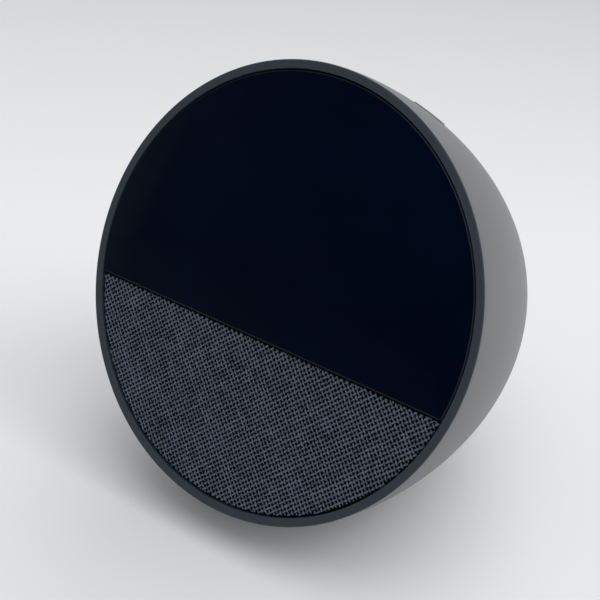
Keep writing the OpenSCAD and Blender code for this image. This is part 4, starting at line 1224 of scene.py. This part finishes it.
class Finishes:
    """Builds the materials, and dresses the CAD nodes by their material slots."""

    OUTSIDE = (
        Moulded("shell_satin", CHARCOAL, 0.42, grain=3000.0, relief=0.000008, drift=0.03, wear=0.15),
        # Painted shade: the shell's plastic painted darker for the rim's front and the wall's inside.
        Moulded("rim_and_inside_painted_shade", (0.010, 0.0165, 0.029), 0.6, Finish.MATT, drift=0.08, wear=0.2),
        Moulded("printed_sign", (0.32, 0.33, 0.34), 0.6, Finish.MATT, wear=0.0),
        # Painted shade: a near-black sheet under the yarns, for the shade seen through the weave.
        Moulded("painted_shade_sheet", (0.0006, 0.001, 0.0026), 0.85, Finish.MATT, wear=0.0, gloss=0.03),
        Moulded("foot_rubber", (0.018, 0.018, 0.02), 0.75, Finish.RUBBER, grain=1500.0, relief=0.00003),
        BlackGlass(),
        GroundEdge(),
        Yarn(),
    )
    INSIDE = {
        "black_tape": Moulded("foam_tape", (0.02, 0.02, 0.02), 0.8, Finish.MATT),
        "touch_film": Moulded("touch_film", (0.3, 0.32, 0.35), 0.1),
        "lcd_glass": Moulded("lcd_glass", (0.012, 0.012, 0.018), 0.08),
        "backlight_frame": Moulded("backlight_frame", (0.72, 0.72, 0.73), 0.5),
        "stamped_steel": Metal("stamped_steel", (0.6, 0.61, 0.63)),
        "screw_steel": Metal("screw_steel", (0.55, 0.55, 0.58), 0.28),
        "flex_film": Moulded("flex_film", (0.4, 0.2, 0.05), 0.35),
        "chip_black": Moulded("chip_epoxy", (0.025, 0.025, 0.027), 0.5),
        "grille_plastic": Moulded("grille_black", (0.012, 0.012, 0.014), 0.6, Finish.MATT),
        "chassis_plastic": Moulded("chassis_black", (0.02, 0.02, 0.022), 0.55, Finish.MATT),
        "foam_gasket": Moulded(
            "gasket_foam", (0.02, 0.02, 0.02), 0.9, Finish.RUBBER, grain=1800.0, relief=0.00005
        ),
        "basket_plastic": Moulded("basket_black", (0.035, 0.035, 0.04), 0.5),
        "surround_rubber": Moulded("surround_rubber", (0.015, 0.015, 0.015), 0.6, Finish.RUBBER),
        "cone_paper": Moulded(
            "cone_pulp", (0.05, 0.05, 0.055), 0.85, Finish.MATT, grain=1100.0, relief=0.00006
        ),
        "dust_cap_fabric": Woven("dust_cap_cloth", (0.03, 0.03, 0.032)),
        "coil_copper": Metal("coil_copper", (0.72, 0.36, 0.16), 0.35),
        "spider_cloth": Woven("spider_cloth", (0.5, 0.33, 0.13), 900.0),
        "plated_steel": Metal("plated_steel", (0.5, 0.5, 0.52)),
        "ferrite": Moulded("ferrite", (0.05, 0.05, 0.055), 0.6, Finish.MATT),
        "contact_brass": Metal("contact_brass", (0.78, 0.6, 0.32), 0.25),
        "enclosure_plastic": Moulded("enclosure_black", (0.04, 0.04, 0.045), 0.5),
        "circuit_board": Moulded("solder_mask", (0.015, 0.09, 0.05), 0.4, Finish.BOARD),
        "connector_nylon": Moulded("connector_nylon", (0.78, 0.75, 0.65), 0.5),
        "thermal_pad": Moulded("thermal_pad", (0.3, 0.4, 0.58), 0.8, Finish.RUBBER),
        "heat_sink": Metal("heat_sink", (0.7, 0.71, 0.73), 0.4),
        "antenna_board": Moulded("antenna_board", (0.03, 0.03, 0.035), 0.4, Finish.BOARD),
        "plunger_plastic": Moulded("plunger_plastic", (0.5, 0.5, 0.52), 0.5),
        "jack_plastic": Moulded("jack_black", (0.022, 0.022, 0.024), 0.45),
        "red_wire": Moulded("red_insulation", (0.38, 0.02, 0.015), 0.45),
        "grey_wire": Moulded("grey_insulation", (0.09, 0.09, 0.1), 0.45),
        "shell_plastic": Moulded("shell_plain", CHARCOAL, 0.42),
        "button_plastic": Moulded("button_plain", CHARCOAL, 0.42),
    }

    def build_outside(self) -> None:
        """Builds the outside materials, which the pieces look up by name."""
        for finish in self.OUTSIDE:
            finish.build()
            log.info("finish %s", finish.name)

    def dress(self, frame: dict) -> None:
        """Gives each CAD node, except those of the cover_glass, foot_rubber and woven_cloth slots, the
        material of its slot.
        """
        slots = {row["node"]: row["material_slot"] for row in frame["record"]["subparts"]}
        made: dict[str, bpy.types.Material] = {}
        for node, piece in frame["nodes"].items():
            slot = slots[node]
            if slot in ("cover_glass", "foot_rubber", "woven_cloth"):
                continue
            if slot not in made:
                made[slot] = self.INSIDE[slot].build()
            piece.data.materials.clear()
            piece.data.materials.append(made[slot])
        log.info("dressed %d CAD nodes in %d finishes", len(frame["nodes"]), len(made))


# ---- Floor, lights and camera ----


@dataclass(frozen=True)
class Softbox:
    """A rectangular light that points at the object.

    Attributes:
        name: Its name.
        azimuth: Its direction round the object, in degrees, as a camera's.
        elevation: Its height above the horizon, in degrees.
        distance: Its distance in metres.
        size: Its width and height in metres.
        power: Its power in watts.
        colour: Its colour.
    """

    name: str
    azimuth: float
    elevation: float
    distance: float
    size: tuple[float, float]
    power: float
    colour: Colour = (1.0, 1.0, 1.0)

    def build(self, target: Vector) -> None:
        """Makes the light, pointed at the target."""
        data = bpy.data.lights.new(self.name, "AREA")
        data.shape, data.size, data.size_y = "RECTANGLE", *self.size
        data.energy, data.color = self.power, self.colour
        lamp = bpy.data.objects.new(self.name, data)
        towards = direction(self.azimuth, self.elevation)
        lamp.location = target + towards * self.distance
        lamp.rotation_euler = (-towards).to_track_quat("-Z", "Y").to_euler()
        bpy.context.scene.collection.objects.link(lamp)


def direction(azimuth: float, elevation: float) -> Vector:
    """Unit vector towards a camera or light at an azimuth from -y towards +x."""
    a, e = math.radians(azimuth), math.radians(elevation)
    return Vector((math.sin(a) * math.cos(e), -math.cos(a) * math.cos(e), math.sin(e)))


@dataclass
class Studio:
    """The pale floor with its painted shade, the soft lights and the camera.

    Attributes:
        frame: The face frame, whose middle the camera and the lights look towards.
        azimuth: Direction of the camera round the object, in degrees.
        elevation: Its height above the horizon, in degrees.
        distance: Its distance from the point that it looks at, in metres.
        roll: Its turn about its own axis, in degrees.
        aim_offset: Place of the point that it looks at, from the face's middle, in metres.
        lens: Its focal length, in millimetres.
        floor_half: Half the floor's width, in metres.
        floor_colour: The floor's lightest colour.
        floor_step: Distance between the floor's vertices, in metres.
        floor_shade: Brightness of the floor's painted shade under the object.
        shade_across: Darkening of the painted shade for each metre to the right of the main view.
        shade_beyond: Darkening of the painted shade for each metre behind the object in the main view.
        shade_start: Distance behind the object at which that darkening starts, in metres.
        shade_least: The least brightness of the painted shade.
        world_colour: Colour of the surround.
        world_strength: Strength of the surround.
        lights: The soft lights.
    """

    frame: FaceFrame
    azimuth: float = 37.333
    elevation: float = 31.833
    distance: float = 0.357908
    roll: float = 0.995
    aim_offset: tuple[float, float, float] = (0.008165, 0.0, 0.001214)
    lens: float = 90.0
    floor_half: float = 3.0
    floor_colour: Colour = (0.75, 0.748, 0.752)
    floor_step: float = 0.05
    floor_shade: float = 0.9
    shade_across: float = 0.45
    shade_beyond: float = 0.9
    shade_start: float = 0.1
    shade_least: float = 0.62
    world_colour: Colour = (0.93, 0.97, 1.0)
    world_strength: float = 0.62
    lights: tuple[Softbox, ...] = (
        Softbox("top_softbox", 90, 74, 1.5, (1.4, 1.4), 9.0, (0.98, 0.99, 1.0)),
        Softbox("right_softbox", 112, 30, 1.3, (0.9, 1.1), 8.0),
        Softbox("back_softbox", 190, 38, 1.5, (1.3, 0.8), 7.0),
    )

    def build(self) -> None:
        """Builds the floor, the world, the lights and the camera."""
        self._floor()
        self._world()
        middle = Vector(self.frame.origin) * MM
        for light in self.lights:
            light.build(middle)
        self._camera(middle)

    def _floor(self) -> None:
        """A large flat floor with a faint mottle and painted shade, which darkens it to the right and
        behind where the light falls off.

        Its painted shade is floor_shade - shade_across across - shade_beyond max(0, away - shade_start),
        held between shade_least and 1. Across and away are distances in metres to the right of
        the object and behind it, along and square to the main view. The painted shade is fixed to
        the floor's vertices.
        """
        count = int(2 * self.floor_half / self.floor_step) + 1
        line = np.linspace(-self.floor_half, self.floor_half, count)
        x, y = np.meshgrid(line, line)
        a = math.radians(self.azimuth)
        across, away = x * math.cos(a) + y * math.sin(a), y * math.cos(a) - x * math.sin(a)
        beyond = np.maximum(0, away - self.shade_start)
        # Painted shade: the floor is darker to the right and behind, where the light falls off and the
        # shadow spreads.
        shade = self.floor_shade - self.shade_across * across - self.shade_beyond * beyond
        points = np.stack([x, y, 0 * x], axis=-1).reshape(-1, 3)
        faces = grid_faces(count, count, wrap_rows=False, wrap_columns=False).tolist()
        floor = new_piece("studio_floor", points, faces)
        light = floor.data.attributes.new("tone_and_painted_light", "FLOAT", "POINT")
        mask = TONE_DARK + (TONE_LIGHT - TONE_DARK) * np.clip(shade, self.shade_least, 1.0)
        light.data.foreach_set("value", mask.ravel().astype(np.float32))
        made = Shader("studio_floor", self.floor_colour, 0.55)
        grain = made.group("fine_grain", grain_group, Scale=500.0, Coarse_Scale=3.0)
        tone_and_painted_light, total = (made.tree.nodes.new(k) for k in ("ShaderNodeAttribute", "ShaderNodeMath"))
        tone_and_painted_light.attribute_name, total.operation = "tone_and_painted_light", "MULTIPLY_ADD"
        total.inputs[1].default_value = 0.01
        made.link(grain.outputs["Mask"], total.inputs[0])
        made.link(tone_and_painted_light.outputs["Fac"], total.inputs[2])
        # The floor's colour runs up from black by its painted shade, with a faint mottle.
        made.tones(total.outputs["Value"], (0.0, 0.0, 0.0), self.floor_colour)
        made.surface.inputs["Specular IOR Level"].default_value = 0.2
        floor.data.materials.append(made.material)

    def _world(self) -> None:
        """An even soft surround."""
        world = bpy.data.worlds.new("studio")
        world.use_nodes = True
        sky = world.node_tree.nodes["Background"]
        sky.inputs["Color"].default_value = (*self.world_colour, 1.0)
        sky.inputs["Strength"].default_value = self.world_strength
        bpy.context.scene.world = world
        bpy.context.scene.view_settings.view_transform = "Standard"

    def _camera(self, middle: Vector) -> None:
        """A long-lens camera above the right of the face."""
        data = bpy.data.cameras.new("camera")
        data.lens, data.sensor_width = self.lens, 36.0
        data.clip_start, data.clip_end = 0.01, 20.0
        camera = bpy.data.objects.new("camera", data)
        towards = direction(self.azimuth, self.elevation)
        camera.location = middle + Vector(self.aim_offset) + towards * self.distance
        aim = (-towards).to_track_quat("-Z", "Y").to_matrix()
        turn = Matrix.Rotation(math.radians(self.roll), 3, "Z")
        camera.rotation_euler = (aim @ turn).to_euler()
        bpy.context.scene.collection.objects.link(camera)
        bpy.context.scene.camera = camera


# ---- The whole object ----


def joint_axis(frame: dict, name: str) -> Array:
    """Axis of the named joint of the loaded frame."""
    return np.array(next(j for j in frame["joints"] if j["name"] == name)["axis"])


def face_frame(frame: dict, rim_round: float) -> FaceFrame:
    """Reads the face's place from the CAD model.

    The cone's stroke runs along the face's normal, which gives the tilt. The shell's box is
    as wide as the face, its front is the rim's lowest point, and its top the rim's highest.

    Args:
        rim_round: Radius of the rim's outer edge, in millimetres.

    Returns:
        The face frame.
    """
    tilt = math.asin(joint_axis(frame, "cone_stroke")[2])
    low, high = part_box("dome_shell")
    radius = (high[0] - low[0]) / 2 / MM
    flat = radius - rim_round
    y = low[1] / MM + flat * math.sin(tilt) + rim_round * (1 - math.cos(tilt))
    z = high[2] / MM - flat * math.cos(tilt) - rim_round * (1 - math.sin(tilt))
    return FaceFrame((0.0, y, z), tilt, radius)


def key_step(frame: dict, face: FaceFrame) -> float:
    """Angle between neighbouring keys round the dome, from the outer key's press direction.

    Args:
        face: The face frame.

    Returns:
        The angle in degrees.
    """
    press = joint_axis(frame, "volume_up_press")
    return math.degrees(math.atan2(-press[0], -press @ face.upward))


def main() -> None:
    """Builds the speaker and its studio."""
    logging.basicConfig(level=logging.INFO, format="%(name)s: %(message)s")
    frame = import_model()
    face = face_frame(frame, Shell.rim_round)
    dome = Dome(face.radius, 80.8)
    finishes = Finishes()
    finishes.build_outside()
    finishes.dress(frame)
    low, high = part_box("foot_pad")
    foot = Foot((low[1] + high[1]) / 2 / MM)
    keys = Keys(face, dome, step=key_step(frame, face))
    shell = Shell(face, dome).build(keys, foot)
    add_materials(shell, "shell_satin", "rim_and_inside_painted_shade")
    log.info("shell has %d faces", len(shell.data.polygons))
    for part in (keys, foot, Glass(face), GrilleCloth(face), Studio(face)):
        part.build()
        log.info("built %s", type(part).__name__)


if __name__ == "__main__":
    main()
